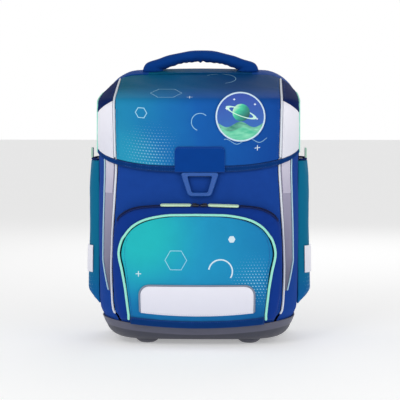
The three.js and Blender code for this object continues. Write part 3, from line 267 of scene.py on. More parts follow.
# Side pocket from its foot to its mouth. up: share of its height. out: share of SIDE_POCKET_BULGE.
SIDE_POCKET_ROWS = [
    dict(up=0.0, out=0.0),
    dict(up=0.04, out=0.72),
    dict(up=0.1, out=1.1),
    dict(up=0.5, out=1.0),
    dict(up=0.85, out=0.9),
    dict(up=1.0, out=0.72),
]

# Sections of the grip from its middle to a foot. x and up: the section's middle, from the centre line and above
# the lid. wide and tall: from there to the section's outer edge.
GRIP_SECTIONS = [
    dict(x=0, up=22, wide=0, tall=9),
    dict(x=16, up=21.1, wide=1, tall=8.9),
    dict(x=32, up=18.5, wide=1.9, tall=8.8),
    dict(x=48, up=14.1, wide=2.8, tall=8.5),
    dict(x=60, up=9.8, wide=3.5, tall=8.3),
    dict(x=69, up=6.8, wide=11.5, tall=6),
    dict(x=71.8, up=3.8, wide=14.7, tall=3.3),
    dict(x=72.5, up=0, wide=16.5, tall=0),
]

# Padded strap's middle line. out: share of STRAP_BOW. down: share of STRAP_DROP. side: share of STRAP_SPREAD.
STRAP_ROUTE = [
    dict(out=0.15, down=0.0, side=0.0),
    dict(out=0.3, down=-0.085, side=0.03),
    dict(out=0.62, down=-0.03, side=0.1),
    dict(out=0.88, down=0.18, side=0.3),
    dict(out=0.95, down=0.48, side=0.62),
    dict(out=0.78, down=0.78, side=0.88),
    dict(out=0.5, down=1.0, side=1.0),
]

SIDES = {"left": -1, "right": 1}


# Numbers and curves


def between(low, high, share):
    return low + (high - low) * share


def smoothstep(value, low, high):
    share = np.clip((value - low) / (high - low), 0, 1)
    return share * share * (3 - 2 * share)


def look_up(table, key, column, at):
    """Value of a column where the key column has the value at, on a smooth curve that doesn't overshoot."""
    keys = np.array([row[key] for row in table], float)
    values = np.array([row[column] for row in table], float)
    steps = np.diff(values) / np.diff(keys)
    product = steps[:-1] * steps[1:]
    inner = np.where(product > 0, 2 * product / np.where(product > 0, steps[:-1] + steps[1:], 1), 0)
    slopes = np.concatenate([steps[:1], inner, steps[-1:]])
    at = np.clip(np.asarray(at, float), keys[0], keys[-1])
    row = np.clip(np.searchsorted(keys, at, side="right") - 1, 0, len(keys) - 2)
    width = keys[row + 1] - keys[row]
    t = (at - keys[row]) / width
    rise = values[row + 1] - values[row]
    return (
        values[row]
        + rise * t * t * (3 - 2 * t)
        + width * slopes[row] * t * (1 - t) ** 2
        - width * slopes[row + 1] * t * t * (1 - t)
    )


def length_along(points):
    """Length from the first point to each point."""
    steps = np.linalg.norm(np.diff(points, axis=0), axis=1)
    return np.concatenate([[0], np.cumsum(steps)])


def along_line(line, run, spot):
    """The point, or the points, of a line at lengths along it."""
    return np.stack([np.interp(spot, run, line[:, k]) for k in range(line.shape[1])], axis=-1)


def through(points, spacing):
    """Evenly spaced points on a smooth curve through the given ones."""
    points = np.asarray(points, float)
    padded = np.concatenate([[2 * points[0] - points[1]], points, [2 * points[-1] - points[-2]]])
    dense = []
    for before, low, high, after in zip(padded, padded[1:], padded[2:], padded[3:]):
        for t in np.linspace(0, 1, 24, endpoint=False):
            out = (high - before) / 2
            into = (after - low) / 2
            bend = (2 * t**3 - 3 * t**2) * (low - high)
            dense.append(low + bend + (t**3 - 2 * t**2 + t) * out + (t**3 - t**2) * into)
    dense = np.array([*dense, points[-1]])
    run = length_along(dense)
    even = np.linspace(0, run[-1], max(2, round(run[-1] / spacing)) + 1)
    return along_line(dense, run, even)


def ripple(across, along):
    """A calm uneven swell, between about -1 and 1."""
    first = np.sin(across / 19 + 1.3 * np.sin(along / 33))
    second = np.sin(along / 23 + 1.7 * np.sin(across / 41) + 0.8)
    return 0.5 * (first * second + np.sin(across / 47 + along / 61))


# The bag's form: sections that are level in the walls and fan out over the lid


def wall_section(height):
    up = np.asarray(height, float) / SIDE_TOP
    return SimpleNamespace(
        height=up * SIDE_TOP,
        tilt=0 * up,
        half=BODY_HALF_WIDTH * look_up(WALLS, "up", "half", up),
        reach=BODY_DEPTH * look_up(WALLS, "up", "reach", up),
        seam=look_up(WALLS, "up", "seam", up),
        bow=FRONT_BOW + 0 * up,
        narrowing=0 * up,
    )


LID_LINE = through(
    [
        (row["forward"] * float(wall_section(SIDE_TOP).reach), row["rise"] * LID_RISE)
        for row in LID_PROFILE
    ],
    1,
)
LID_LENGTHS = length_along(LID_LINE)
LID_RUN = LID_LENGTHS[-1]  # from the side top over the lid to the back edge
STRIP_RUN = LID_RUN - STRIP_DEPTH


def section_at(run):
    """The section at a run measured over the bag: negative below SIDE_TOP, positive over the lid."""
    run = np.asarray(run, float)
    section = wall_section(SIDE_TOP + np.minimum(run, 0))
    over = run > 0
    share = np.clip(run / LID_RUN, 0, 1)
    forward = np.interp(share * LID_RUN, LID_LENGTHS, LID_LINE[:, 0])
    rise = np.interp(share * LID_RUN, LID_LENGTHS, LID_LINE[:, 1])
    section.tilt = np.where(over, np.arctan2(rise, forward), 0)
    section.reach = np.where(over, np.hypot(forward, rise), section.reach)
    section.bow = np.where(over, between(FRONT_BOW, LID_CROWN, share), FRONT_BOW)
    section.narrowing = LID_NARROWING * share
    return section


def flat_span(section):
    return section.half - CORNER_RADIUS


def corner_span(section):
    return flat_span(section) + CORNER_RADIUS * math.pi / 2


def full_span(section):
    return corner_span(section) + section.reach - CORNER_RADIUS


def span_at(section, x):
    """Span from the middle to a distance from the centre line, on the front or its corner."""
    flat = flat_span(section)
    turn = np.arcsin(np.clip((x - flat) / CORNER_RADIUS, 0, 1))
    return np.minimum(x, flat) + CORNER_RADIUS * turn


def arch_point(section, span):
    """Point of the section's arch in its own plane: x, and distance from the back plane."""
    along = np.abs(span)
    flat = flat_span(section)
    angle = np.clip((along - flat) / CORNER_RADIUS, 0, math.pi / 2)
    x = np.minimum(along, flat) + CORNER_RADIUS * np.sin(angle)
    out = section.reach - CORNER_RADIUS * (1 - np.cos(angle)) - np.maximum(along - corner_span(section), 0)
    out = out + section.bow * (1 - (x / section.half) ** 2)
    x = x * (1 - section.narrowing * out / section.reach)
    return np.where(span < 0, -x, x), out


def on_bag(section, span, outwards=0.0):
    """Point of the bag's outer face at a section and a span, moved outwards in the section's plane."""
    step = 0.05
    x, out = arch_point(section, span)
    ahead_x, ahead_out = arch_point(section, span + step)
    behind_x, behind_out = arch_point(section, span - step)
    run_x, run_out = ahead_x - behind_x, ahead_out - behind_out
    length = np.hypot(run_x, run_out)
    x = x - run_out / length * outwards
    out = out + run_x / length * outwards
    y = -out * np.cos(section.tilt)
    z = section.height + out * np.sin(section.tilt)
    return np.stack(np.broadcast_arrays(x, y, z), axis=-1)


def front_seam(section):
    return span_at(section, section.half * section.seam)


def flap_seam(section):
    """Seam of the lid's printed panel, which widens a little over the knuckle and towards the back."""
    up = np.clip((section.height - HEM_HEIGHT) / (SIDE_TOP - HEM_HEIGHT), 0, 1)
    over = section.narrowing / LID_NARROWING
    return span_at(section, section.half * (FLAP_PANEL_SHARE + 0.015 * up + 0.04 * over))


def wing_edge(section):
    return flat_span(section) + CORNER_RADIUS * WING_WRAP


def bag_face(span, run, base=0.0):
    """A face that follows the bag. span(section, u) and run(v) say where a point lies."""

    def face(u, v, outwards=0.0):
        section = section_at(run(v))
        return on_bag(section, span(section, u), base + outwards)

    return face


def wall_front(x, height, outwards):
    section = wall_section(height)
    return on_bag(section, np.sign(x) * span_at(section, np.abs(x)), outwards)


# Meshes


def place(points):
    return np.asarray(points) * MM + (0, BACK_PLANE, 0)


def add_piece(name, points, faces, look, nodes=(), cloth=None):
    """A mesh piece on the one body. cloth: each point's place on its cloth and its distance from the edge, in mm."""
    points = place(points)
    corners = np.array([face[:3] for face in faces])
    first, second, third = (points[corners[:, k]] - points.mean(axis=0) for k in range(3))
    if np.einsum("ij,ij->", first, np.cross(second, third)) < 0:
        faces = [tuple(reversed(face)) for face in faces]
    mesh = bpy.data.meshes.new(name)
    mesh.from_pydata(points.tolist(), [], faces)
    mesh.polygons.foreach_set("use_smooth", [True] * len(mesh.polygons))
    if cloth is None:
        cloth = np.zeros_like(points)
    attribute = mesh.attributes.new("cloth", "FLOAT_VECTOR", "POINT")
    attribute.data.foreach_set("vector", np.asarray(cloth, np.float32).ravel())
    mesh.materials.append(look.material)
    piece = bpy.data.objects.new(name, mesh)
    bpy.context.scene.collection.objects.link(piece)
    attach(piece, "root")
    if nodes:
        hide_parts(*nodes)
    return piece


def grid_quads(columns, rows, start=0, flip=False):
    corner = np.arange(columns * rows).reshape(rows, columns) + start
    quads = np.stack([corner[:-1, :-1], corner[:-1, 1:], corner[1:, 1:], corner[1:, :-1]], axis=-1)
    quads = quads.reshape(-1, 4)
    return (quads[:, ::-1] if flip else quads).tolist()


def border_loop(columns, rows):
    corner = np.arange(columns * rows).reshape(rows, columns)
    return [*corner[0, :-1], *corner[:-1, -1], *corner[-1, :0:-1], *corner[:0:-1, 0]]


def shell(name, top, under, columns, rows, look, nodes=(), cloth=None):
    """A closed wall between two grids of the same size."""
    count = columns * rows
    loop = [int(index) for index in border_loop(columns, rows)]
    rim = [(a, a + count, b + count, b) for a, b in zip(loop, [*loop[1:], loop[0]])]
    faces = [*grid_quads(columns, rows), *grid_quads(columns, rows, count, flip=True), *rim]
    if cloth is not None:
        cloth = np.concatenate([cloth, cloth])
    return add_piece(name, np.concatenate([top, under]), faces, look, nodes, cloth)


def face_size(face):
    line = np.linspace(0, 1, 60)
    middle = np.full(60, 0.5)
    return length_along(face(line, middle))[-1], length_along(face(middle, line))[-1]


def edge_spaced(length, cell, rounding):
    """Shares from 0 to 1: even cells, with close lines at both ends where the cloth's edge turns."""
    edge = rounding / length
    inner = np.linspace(edge, 1 - edge, max(2, round(length / cell)))
    ends = edge * np.array([0, 0.08, 0.28, 0.58])
    return np.concatenate([ends, inner, 1 - ends[::-1]])


def flat(across, along, width, height):
    return 0 * across


def sewn(inset=STITCH_INSET, pucker=0.3, swell=0.35):
    """Relief of a sewn panel: a sunk seam line at the inset, puckers along it, and a calm swell inside."""

    def relief(across, along, width, height):
        lift = swell * ripple(across + width, along)
        slant = np.sin((across + 0.6 * along) / 8 + 2 * np.sin(along / 26))
        lift = lift + 0.35 * swell * slant * ripple(along, across)
        sides = [(across, along), (width - across, along), (along, across), (height - along, across)]
        for gap, travel in sides:
            wave = np.sin(travel / 2.4 + 2 * np.sin(travel / 17))
            lift = lift - 0.35 * np.exp(-(((gap - inset) / 0.9) ** 2)) + pucker * np.exp(-gap / 7) * wave
        return lift

    return relief


def panel(name, face, wall, look, nodes=(), relief=flat, cell=CELL, rounding=ROUNDING):
    """A cloth panel. face(u, v, outwards) gives its outer side for shares across and along."""
    width, height = face_size(face)
    us = edge_spaced(width, cell, rounding)
    vs = edge_spaced(height, cell, rounding)
    u, v = (grid.ravel() for grid in np.meshgrid(us, vs))
    across, along = u * width, v * height
    border = np.minimum.reduce([across, width - across, along, height - along])
    turned = rounding * (1 - np.sqrt(1 - (1 - np.clip(border / rounding, 0, 1)) ** 2))
    top = face(u, v, relief(across, along, width, height) - turned)
    under = face(u, v, -wall)
    cloth = np.stack([across - width / 2, along, border], axis=-1)
    return shell(name, top, under, len(us), len(vs), look, nodes, cloth)


def inset_lines(face, inset, edges):
    """Lines on a face at a distance from its edges, as shares across and along."""
    width, height = face_size(face)
    line = np.linspace(0, 1, 200)
    side, end = inset / width, inset / height
    up = between(end, 1 - end, line)
    out = between(side, 1 - side, line)
    lines = {
        "left": (np.full(200, side), up),
        "right": (np.full(200, 1 - side), up),
        "bottom": (out, np.full(200, end)),
        "top": (out, np.full(200, 1 - end)),
    }
    return [lines[edge] for edge in edges]


def stitch_rows(name, rows, look):
    """Rows of thread. Each row is a pair: points along the seam, and the same points a little further out."""
    points, faces = [], []
    for low, high in rows:
        run = length_along(low)
        count = int(run[-1] / STITCH_PITCH)
        for middle in (np.arange(count) + 0.5) * STITCH_PITCH:
            stations = middle + STITCH_LENGTH * np.array([-0.5, -0.22, 0.22, 0.5])
            line = along_line(low, run, stations)
            top = along_line(high, run, middle)
            normal = top - line[1:3].mean(axis=0)
            normal /= np.linalg.norm(normal)
            side = np.cross(line[3] - line[0], normal)
            side *= STITCH_WIDTH / 2 / np.linalg.norm(side)
            up = normal * STITCH_WIDTH / 2
            start = len(points)
            rings = [end + part for end in line[1:3] for part in (side, up, -side, -up)]
            points += [line[0] - up, *rings, line[3] - up]
            for k in range(4):
                a, b = start + 1 + k, start + 1 + (k + 1) % 4
                faces += [(start, b, a), (a, b, b + 4, a + 4), (a + 4, b + 4, start + 9)]
    return add_piece(name, np.array(points), faces, look)


def seams(name, jobs, look):
    """Stitches on faces. jobs holds (face, inset, edges)."""
    rows = []
    for face, inset, edges in jobs:
        rows += [(face(u, v, 0.0), face(u, v, 1.0)) for u, v in inset_lines(face, inset, edges)]
    return stitch_rows(name, rows, look)


def tube_rings(points, radii, sides, hint=(0, 0, 1)):
    """Rings round a line, kept from twisting."""
    points = np.asarray(points, float)
    tangents = np.gradient(points, axis=0)
    tangents /= np.linalg.norm(tangents, axis=1)[:, None]
    normal = np.cross(np.cross(tangents[0], hint), tangents[0])
    angles = np.linspace(0, 2 * math.pi, sides, endpoint=False)
    rings = []
    for point, tangent, radius in zip(points, tangents, radii):
        normal = normal - tangent * normal.dot(tangent)
        normal /= np.linalg.norm(normal)
        other = np.cross(tangent, normal)
        circle = np.outer(np.cos(angles), normal) + np.outer(np.sin(angles), other)
        rings.append(point + radius * circle)
    return np.array(rings)


def loft(name, rings, look, nodes=(), cloth=None):
    """A closed body through rings with the same number of points."""
    count, sides = len(rings), len(rings[0])
    points = np.concatenate([np.concatenate(rings), [np.mean(rings[0], axis=0), np.mean(rings[-1], axis=0)]])
    faces = []
    for side in range(sides):
        other = (side + 1) % sides
        for ring in range(count - 1):
            low, high = ring * sides, (ring + 1) * sides
            faces.append((low + side, low + other, high + other, high + side))
        faces.append((len(points) - 2, other, side))
        faces.append((len(points) - 1, (count - 1) * sides + side, (count - 1) * sides + other))
    if cloth is not None:
        cloth = np.concatenate([cloth, cloth[:1], cloth[-1:]])
    return add_piece(name, points, faces, look, nodes, cloth)


def cord_piece(name, points, radius, look, nodes=(), sides=12, spacing=1.6):
    """A piping with rounded ends."""
    line = through(points, spacing)
    run = length_along(line)
    ends = np.minimum(run, run[-1] - run)
    radii = radius * np.sqrt(np.clip(1 - (1 - np.clip(ends / radius, 0, 1)) ** 2, 0.05, 1))
    rings = tube_rings(line, radii, sides)
    around = np.tile(np.arange(sides) * 2 * math.pi * radius / sides, len(line))
    cloth = np.stack([around, np.repeat(run, sides), 0 * around + radius], axis=-1)
    return loft(name, list(rings), look, nodes, cloth)


def outline_normals(outline):
    ahead = np.roll(outline, -1, axis=0) - np.roll(outline, 1, axis=0)
    ahead /= np.linalg.norm(ahead, axis=1)[:, None]
    return np.stack([ahead[:, 1], -ahead[:, 0]], axis=-1)


def rounded_corners(corners, radius, steps=8):
    """An outline through corners, each rounded by an arc-like curve. Corners go counterclockwise."""
    corners = [np.array(corner, float) for corner in corners]
    outline = []
    for before, corner, after in zip([corners[-1], *corners], corners, [*corners[1:], corners[0]]):
        start = corner + (before - corner) / np.linalg.norm(before - corner) * radius
        end = corner + (after - corner) / np.linalg.norm(after - corner) * radius
        for t in np.linspace(0, 1, steps):
            outline.append((1 - t) ** 2 * start + 2 * t * (1 - t) * corner + t * t * end)
    return np.array(outline)


def trapezium(top_width, foot_width, height, radius, steps=8):
    top, foot, half = top_width / 2, foot_width / 2, height / 2
    return rounded_corners([(-top, half), (-foot, -half), (foot, -half), (top, half)], radius, steps)


def capsule(length, width, steps=10):
    turn = np.linspace(-math.pi / 2, math.pi / 2, steps)
    half = (length - width) / 2
    right = np.stack([half + width / 2 * np.cos(turn), width / 2 * np.sin(turn)], axis=-1)
    return np.concatenate([right, -right])


def solid_rings(outline, thickness, rounding, steps=4):
    """Rings of a plate with rounded edges, lying in x and z with its back at y = 0 and its front at -thickness."""
    normals = outline_normals(outline)
    turn = np.linspace(0, math.pi / 2, steps)
    rings = []
    for angle in turn:
        inset, depth = rounding * (1 - math.sin(angle)), rounding * (1 - math.cos(angle))
        rings.append((outline - normals * inset, -depth))
    for angle in turn[::-1]:
        inset, depth = rounding * (1 - math.sin(angle)), thickness - rounding * (1 - math.cos(angle))
        rings.append((outline - normals * inset, -depth))
    return [np.stack([edge[:, 0], np.full(len(edge), depth), edge[:, 1]], axis=-1) for edge, depth in rings]


def moved(rings, matrix):
    turn, shift = np.array(matrix.to_3x3()), np.array(matrix.to_translation())
    return [ring @ turn.T + shift for ring in rings]


def shifted(rings, x, y, z=0.0):
    return [ring + (x, y, z) for ring in rings]


def front_cloth(rings, border):
    """Places on the cloth of rings that face the front: x and z, at one distance from the edge."""
    return np.concatenate([np.column_stack([ring[:, 0], ring[:, 2], np.full(len(ring), border)]) for ring in rings])


# Materials


def colour(code):
    """Linear colour from an sRGB hex code."""
    parts = [int(code[k : k + 2], 16) / 255 for k in (0, 2, 4)]
    linear = [part / 12.92 if part <= 0.04045 else ((part + 0.055) / 1.055) ** 2.4 for part in parts]
    return (*linear, 1.0)


class Look:
    """A node material and the record's slot that it stands for. Lengths on the cloth are in millimetres."""

    def __init__(self, name, slot):
        self.slot = slot
        self.material = bpy.data.materials.new(name)
        self.material.use_nodes = True
        self.tree = self.material.node_tree
        self.shader = self.tree.nodes["Principled BSDF"]
        self.place = self.node("ShaderNodeAttribute", attribute_name="cloth").outputs["Vector"]
        split = self.node("ShaderNodeSeparateXYZ")
        self.link(self.place, split.inputs[0])
        self.across, self.along, self.border = split.outputs
        self.height = None

    def node(self, kind, **settings):
        made = self.tree.nodes.new(kind)
        for name, value in settings.items():
            setattr(made, name, value)
        return made

    def link(self, value, socket):
        if isinstance(value, bpy.types.NodeSocket):
            self.tree.links.new(value, socket)
        else:
            socket.default_value = value

    def math(self, operation, *values, clamp=False):
        made = self.node("ShaderNodeMath", operation=operation, use_clamp=clamp)
        for value, socket in zip(values, made.inputs):
            self.link(value, socket)
        return made.outputs[0]

    def point(self, x, y, z=0.0):
        made = self.node("ShaderNodeCombineXYZ")
        for value, socket in zip((x, y, z), made.inputs):
            self.link(value, socket)
        return made.outputs[0]

    def length(self, x, y):
        made = self.node("ShaderNodeVectorMath", operation="LENGTH")
        self.link(self.point(x, y), made.inputs[0])
        return made.outputs["Value"]

    def offset(self, centre):
        """How far a place on the cloth lies from a centre, across and along."""
        x = self.math("SUBTRACT", self.across, float(centre[0]))
        y = self.math("SUBTRACT", self.along, float(centre[1]))
        return x, y

    def step(self, value, low, high):
        """0 below low and 1 above high, smooth between them; low may lie above high."""
        made = self.node("ShaderNodeMapRange", interpolation_type="SMOOTHSTEP")
        for part, socket in zip((value, low, high), made.inputs[:3]):
            self.link(part, socket)
        return made.outputs[0]

    def noise(self, size, detail=3.0, stretch=(1, 1)):
        """Noise from 0 to 1 with features of that size."""
        made = self.node("ShaderNodeTexNoise")
        made.inputs["Scale"].default_value = 1 / size
        made.inputs["Detail"].default_value = detail
        x = self.math("DIVIDE", self.across, stretch[0])
        y = self.math("DIVIDE", self.along, stretch[1])
        self.link(self.point(x, y), made.inputs["Vector"])
        return made.outputs[0]

    def blend(self, share, low, high):
        made = self.node("ShaderNodeMix", data_type="RGBA")
        self.link(share, made.inputs[0])
        self.link(low, made.inputs[6])
        self.link(high, made.inputs[7])
        return made.outputs[2]

    def ramp(self, share, stops):
        made = self.node("ShaderNodeValToRGB")
        self.link(share, made.inputs[0])
        bar = made.color_ramp.elements
        while len(bar) < len(stops):
            bar.new(0.5)
        for element, (position, code) in zip(bar, stops):
            element.position = position
            element.color = colour(code)
        return made.outputs[0]

    def shaded(self, base, amount, size=14):
        """The base colour, a little uneven."""
        strength = self.math("MULTIPLY_ADD", self.noise(size), amount, 1 - amount / 2)
        made = self.node("ShaderNodeHueSaturation")
        self.link(strength, made.inputs["Value"])
        self.link(base, made.inputs["Color"])
        return made.outputs[0]

    def raise_by(self, value, depth):
        """Adds to the relief: value from 0 to 1, depth in millimetres."""
        part = self.math("MULTIPLY", value, depth)
        self.height = part if self.height is None else self.math("ADD", self.height, part)

    def weave(self, pitch, depth, twill=0.0):
        """Threads over and under each other."""
        turn = 2 * math.pi / pitch
        warp = self.math("SINE", self.math("MULTIPLY", self.across, turn))
        shifted = self.math("MULTIPLY_ADD", self.across, twill, self.along)
        weft = self.math("SINE", self.math("MULTIPLY", shifted, turn))
        crossing = self.math("MULTIPLY_ADD", self.math("MULTIPLY", warp, weft), 0.5, 0.5)
        self.raise_by(crossing, depth)
        return crossing

    def finish(self, base, roughness, sheen=0.0, coat=0.0, metallic=0.0, specular=0.5):
        self.link(base, self.shader.inputs["Base Color"])
        self.link(roughness, self.shader.inputs["Roughness"])
        self.shader.inputs["Sheen Weight"].default_value = sheen
        self.shader.inputs["Coat Weight"].default_value = coat
        self.shader.inputs["Coat Roughness"].default_value = 0.25
        self.shader.inputs["Metallic"].default_value = metallic
        self.shader.inputs["Specular IOR Level"].default_value = specular
        if self.height is not None:
            bump = self.node("ShaderNodeBump")
            bump.inputs["Strength"].default_value = 0.6
            bump.inputs["Distance"].default_value = MM
            self.link(self.height, bump.inputs["Height"])
            self.link(bump.outputs[0], self.shader.inputs["Normal"])
        return self


def cloth_look(name, slot, code, pitch=0.9, depth=0.08, roughness=0.8, sheen=0.03, uneven=0.2, specular=0.02):
    look = Look(name, slot)
    crossing = look.weave(pitch, depth)
    base = look.shaded(colour(code), uneven)
    # Painted shade of the weave: the colour darkens where the threads cross.
    weave_shaded = look.blend(look.math("MULTIPLY", crossing, 0.12), base, (0, 0, 0, 1))
    # A little paler within about a millimetre of the cloth's edge, where it turns.
    pale_edge = look.step(look.border, 1.2, 0.2)
    base = look.blend(look.math("MULTIPLY", pale_edge, 0.05), weave_shaded, (0.4, 0.45, 0.6, 1))
    look.raise_by(look.noise(9), 0.25)
    return look.finish(base, roughness, sheen, specular=specular)


def moulded_look(name, slot, code, roughness, grain=0.08, grain_size=0.5, uneven=0.1, coat=0.0):
    look = Look(name, slot)
    base = look.shaded(colour(code), uneven, 25)
    look.raise_by(look.noise(grain_size), grain)
    worn = look.math("MULTIPLY_ADD", look.noise(18), 0.15, roughness - 0.07)
    return look.finish(base, worn, coat=coat)


def film_look(name, slot, stops, along_from, along_to, roughness=0.32):
    """Reflective film: a fine diagonal cell pattern under a clear face, with a colour that runs along it."""
    look = Look(name, slot)
    share = look.step(look.along, along_from, along_to)
    base = look.shaded(look.ramp(share, stops), 0.05, 30)
    cells = look.weave(1.4, 0.02, twill=1.0)
    base = look.blend(look.math("MULTIPLY", cells, 0.06), base, (0.2, 0.2, 0.3, 1))
    look.raise_by(look.noise(16), 0.3)
    return look.finish(base, roughness, coat=0.3)


# Motifs of the print: masks from 0 to 1, in millimetres on the cloth


def ring_mask(look, centre, radius, width, keep=None):
    """A thin circle. keep is a direction, in radians, whose side is kept, so that an arc is left."""
    x, y = look.offset(centre)
    off = look.math("ABSOLUTE", look.math("SUBTRACT", look.length(x, y), radius))
    mask = look.math("LESS_THAN", off, width / 2)
    if keep is None:
        return mask
    ahead = look.math("MULTIPLY", x, math.cos(keep))
    ahead = look.math("MULTIPLY_ADD", y, math.sin(keep), ahead)
    return look.math("MULTIPLY", mask, look.math("GREATER_THAN", ahead, -0.2 * radius))


def hexagon_mask(look, centre, radius, width):
    """A hexagon's outline, or a filled one where width is as large as the radius."""
    x, y = (look.math("ABSOLUTE", part) for part in look.offset(centre))
    slanted = look.math("MULTIPLY_ADD", x, 0.866, look.math("MULTIPLY", y, 0.5))
    reach = look.math("MAXIMUM", slanted, y)
    inside = look.math("LESS_THAN", reach, radius)
    return look.math("MULTIPLY", inside, look.math("GREATER_THAN", reach, radius - width))


def plus_mask(look, centre, size, width):
    x, y = (look.math("ABSOLUTE", part) for part in look.offset(centre))
    thin = look.math("LESS_THAN", look.math("MINIMUM", x, y), width / 2)
    return look.math("MULTIPLY", thin, look.math("LESS_THAN", look.math("MAXIMUM", x, y), size / 2))


def dots_mask(look, centre, reach, pitch, radius):
    """Dots on a slanted grid that thin out away from a centre."""
    rows = look.math("MULTIPLY_ADD", look.along, 0.5, look.across)
    x = look.math("MULTIPLY_ADD", look.math("FRACT", look.math("DIVIDE", rows, pitch)), pitch, -pitch / 2)
    y = look.math("MULTIPLY_ADD", look.math("FRACT", look.math("DIVIDE", look.along, pitch)), pitch, -pitch / 2)
    away = look.length(*look.offset(centre))
    size = look.math("MULTIPLY", look.step(away, reach, 0.0), radius)
    return look.math("LESS_THAN", look.length(x, y), size)


def wave_mask(look, height, swing, wavelength, width, start, end):
    """A thin wavy line across the cloth."""
    turn = look.math("SINE", look.math("MULTIPLY", look.across, 2 * math.pi / wavelength))
    line = look.math("MULTIPLY_ADD", turn, swing, height)
    near = look.math("LESS_THAN", look.math("ABSOLUTE", look.math("SUBTRACT", look.along, line)), width / 2)
    inside = look.math("GREATER_THAN", look.across, float(start))
    inside = look.math("MULTIPLY", inside, look.math("LESS_THAN", look.across, float(end)))
    return look.math("MULTIPLY", near, inside)


PRINT_LIGHT = colour("a9dcef")
PRINT_WHITE = colour("e4f4fa")


def print_look(name, half_width, side_stops, dark_from, dark_to, dark_stops, motifs, teal_corner=None):
    """Printed cloth whose colour runs from side to side, and darkens from one place along it to another.

    motifs(look) lists each motif's mask, colour and strength. teal_corner is a centre, a reach and a colour.
    """
    look = Look(name, "print_fabric")
    crossing = look.weave(0.8, 0.04)
    drift = look.math("MULTIPLY_ADD", look.noise(70, 2), 0.25, -0.125)
    side = look.math("MULTIPLY_ADD", look.across, 0.5 / half_width, 0.5)
    share = look.math("ADD", side, drift, clamp=True)
    base = look.ramp(share, side_stops)
    base = look.blend(look.step(look.along, dark_from, dark_to), base, look.ramp(share, dark_stops))
    if teal_corner:
        centre, reach, code = teal_corner
        away = look.length(*look.offset(centre))
        base = look.blend(look.step(away, reach, 0.2 * reach), base, colour(code))
    base = look.shaded(base, 0.1, 22)
    # Painted shade of the weave: the colour darkens where the threads cross.
    base = look.blend(look.math("MULTIPLY", crossing, 0.06), base, (0, 0, 0.02, 1))
    for mask, tint, strength in motifs(look):
        base = look.blend(look.math("MULTIPLY", mask, strength), base, tint)
    look.raise_by(look.noise(12), 0.3)
    return look.finish(base, 0.55, specular=0.02)


def flap_motifs(look):
    return [
        (dots_mask(look, (-70, 18), 62, 4.6, 0.95), PRINT_LIGHT, 0.75),
        (hexagon_mask(look, (-48, 128), 21, 0.9), PRINT_LIGHT, 0.8),
        (hexagon_mask(look, (-84, 78), 8, 1.2), PRINT_LIGHT, 0.9),
        (ring_mask(look, (30, 205), 26, 0.9, keep=0.6), PRINT_LIGHT, 0.75),
        (ring_mask(look, (4, 66), 13, 1.0, keep=2.6), PRINT_LIGHT, 0.8),
        (plus_mask(look, (-12, 108), 9, 1.1), PRINT_WHITE, 0.9),
        (plus_mask(look, (90, 24), 8, 1.1), PRINT_WHITE, 0.9),
        (wave_mask(look, 36, 4, 34, 0.9, 40, 104), PRINT_LIGHT, 0.75),
    ]


def pocket_motifs(look):
    return [
        (dots_mask(look, (84, 96), 52, 4.4, 0.95), PRINT_LIGHT, 0.75),
        (hexagon_mask(look, (50, 158), 4.5, 9), PRINT_WHITE, 0.85),
        (hexagon_mask(look, (-30, 128), 14, 0.9), PRINT_LIGHT, 0.9),
        (ring_mask(look, (34, 112), 17, 1.9, keep=1.2), PRINT_WHITE, 0.85),
        (plus_mask(look, (-84, 108), 8, 1.2), PRINT_WHITE, 0.85),
        (wave_mask(look, 79, 3, 26, 1.0, -60, 20), PRINT_LIGHT, 0.8),
    ]


def side_motifs(look):
    return [
        (dots_mask(look, (-20, 30), 46, 6.0, 1.4), PRINT_LIGHT, 0.8),
        (hexagon_mask(look, (14, 120), 14, 0.9), PRINT_LIGHT, 0.8),
        (plus_mask(look, (-22, 158), 9, 1.1), PRINT_WHITE, 0.85),
        (ring_mask(look, (22, 66), 9, 1.0), PRINT_LIGHT, 0.8),
    ]


royal = cloth_look("royal_cloth", "body_fabric", "1b4599")
gusset_royal = cloth_look("gusset_cloth", "body_fabric", "143a90")
navy = cloth_look("navy_cloth", "navy_fabric", "06215c")
hem_cloth = cloth_look("hem_cloth", "hem_fabric", "0b3674", pitch=0.7)
tab_cloth = cloth_look("tab_cloth", "tab_fabric", "083f90", pitch=0.7, depth=0.04, roughness=0.5)
grip_cloth = cloth_look("grip_cloth", "grip_fabric", "0a3f8e", pitch=0.8, depth=0.06, roughness=0.6)
back_cloth = cloth_look("back_cloth", "back_board", "12204a")
strap_cloth = cloth_look("strap_cloth", "strap_fabric", "13264f")
mesh_cloth = cloth_look("mesh_cloth", "pad_mesh", "173468", pitch=3.2, depth=0.7, roughness=0.85)
webbing_cloth = cloth_look("webbing_cloth", "webbing", "123a80", pitch=1.6, depth=0.25)
white_cord = cloth_look("white_cord", "white_piping", "e6ebf4", pitch=1.1, depth=0.1, uneven=0.05)
mint_cord = cloth_look("mint_cord", "mint_piping", "a4f2dc", pitch=1.1, depth=0.1, uneven=0.06)
blue_cord = cloth_look("blue_cord", "blue_piping", "b8dcea", pitch=0.9, depth=0.08, uneven=0.06)
grey_cord = cloth_look("grey_cord", "grey_trim", "8d95a8", pitch=0.9, depth=0.08)
zip_cloth = cloth_look("zip_cloth", "zip_tape", "0a2366", pitch=0.7, depth=0.1)
blue_thread = cloth_look("blue_thread", "body_fabric", "2a58ad", pitch=0.5, depth=0.05)
pale_thread = cloth_look("pale_thread", "white_film", "c9d2e2", pitch=0.5, depth=0.05)
white_film = film_look("white_film", "white_film", [(0.0, "e2e2ee"), (1.0, "f1f0fa")], 0, 70)
lilac_film = film_look("lilac_film", "lilac_film", [(0.0, "55556e"), (0.16, "77748f"), (1.0, "9f9ab4")], 0, 196)
pale_film = film_look("pale_film", "lilac_film", [(0.0, "b9b4ca"), (1.0, "cfcbdc")], 0, 54)
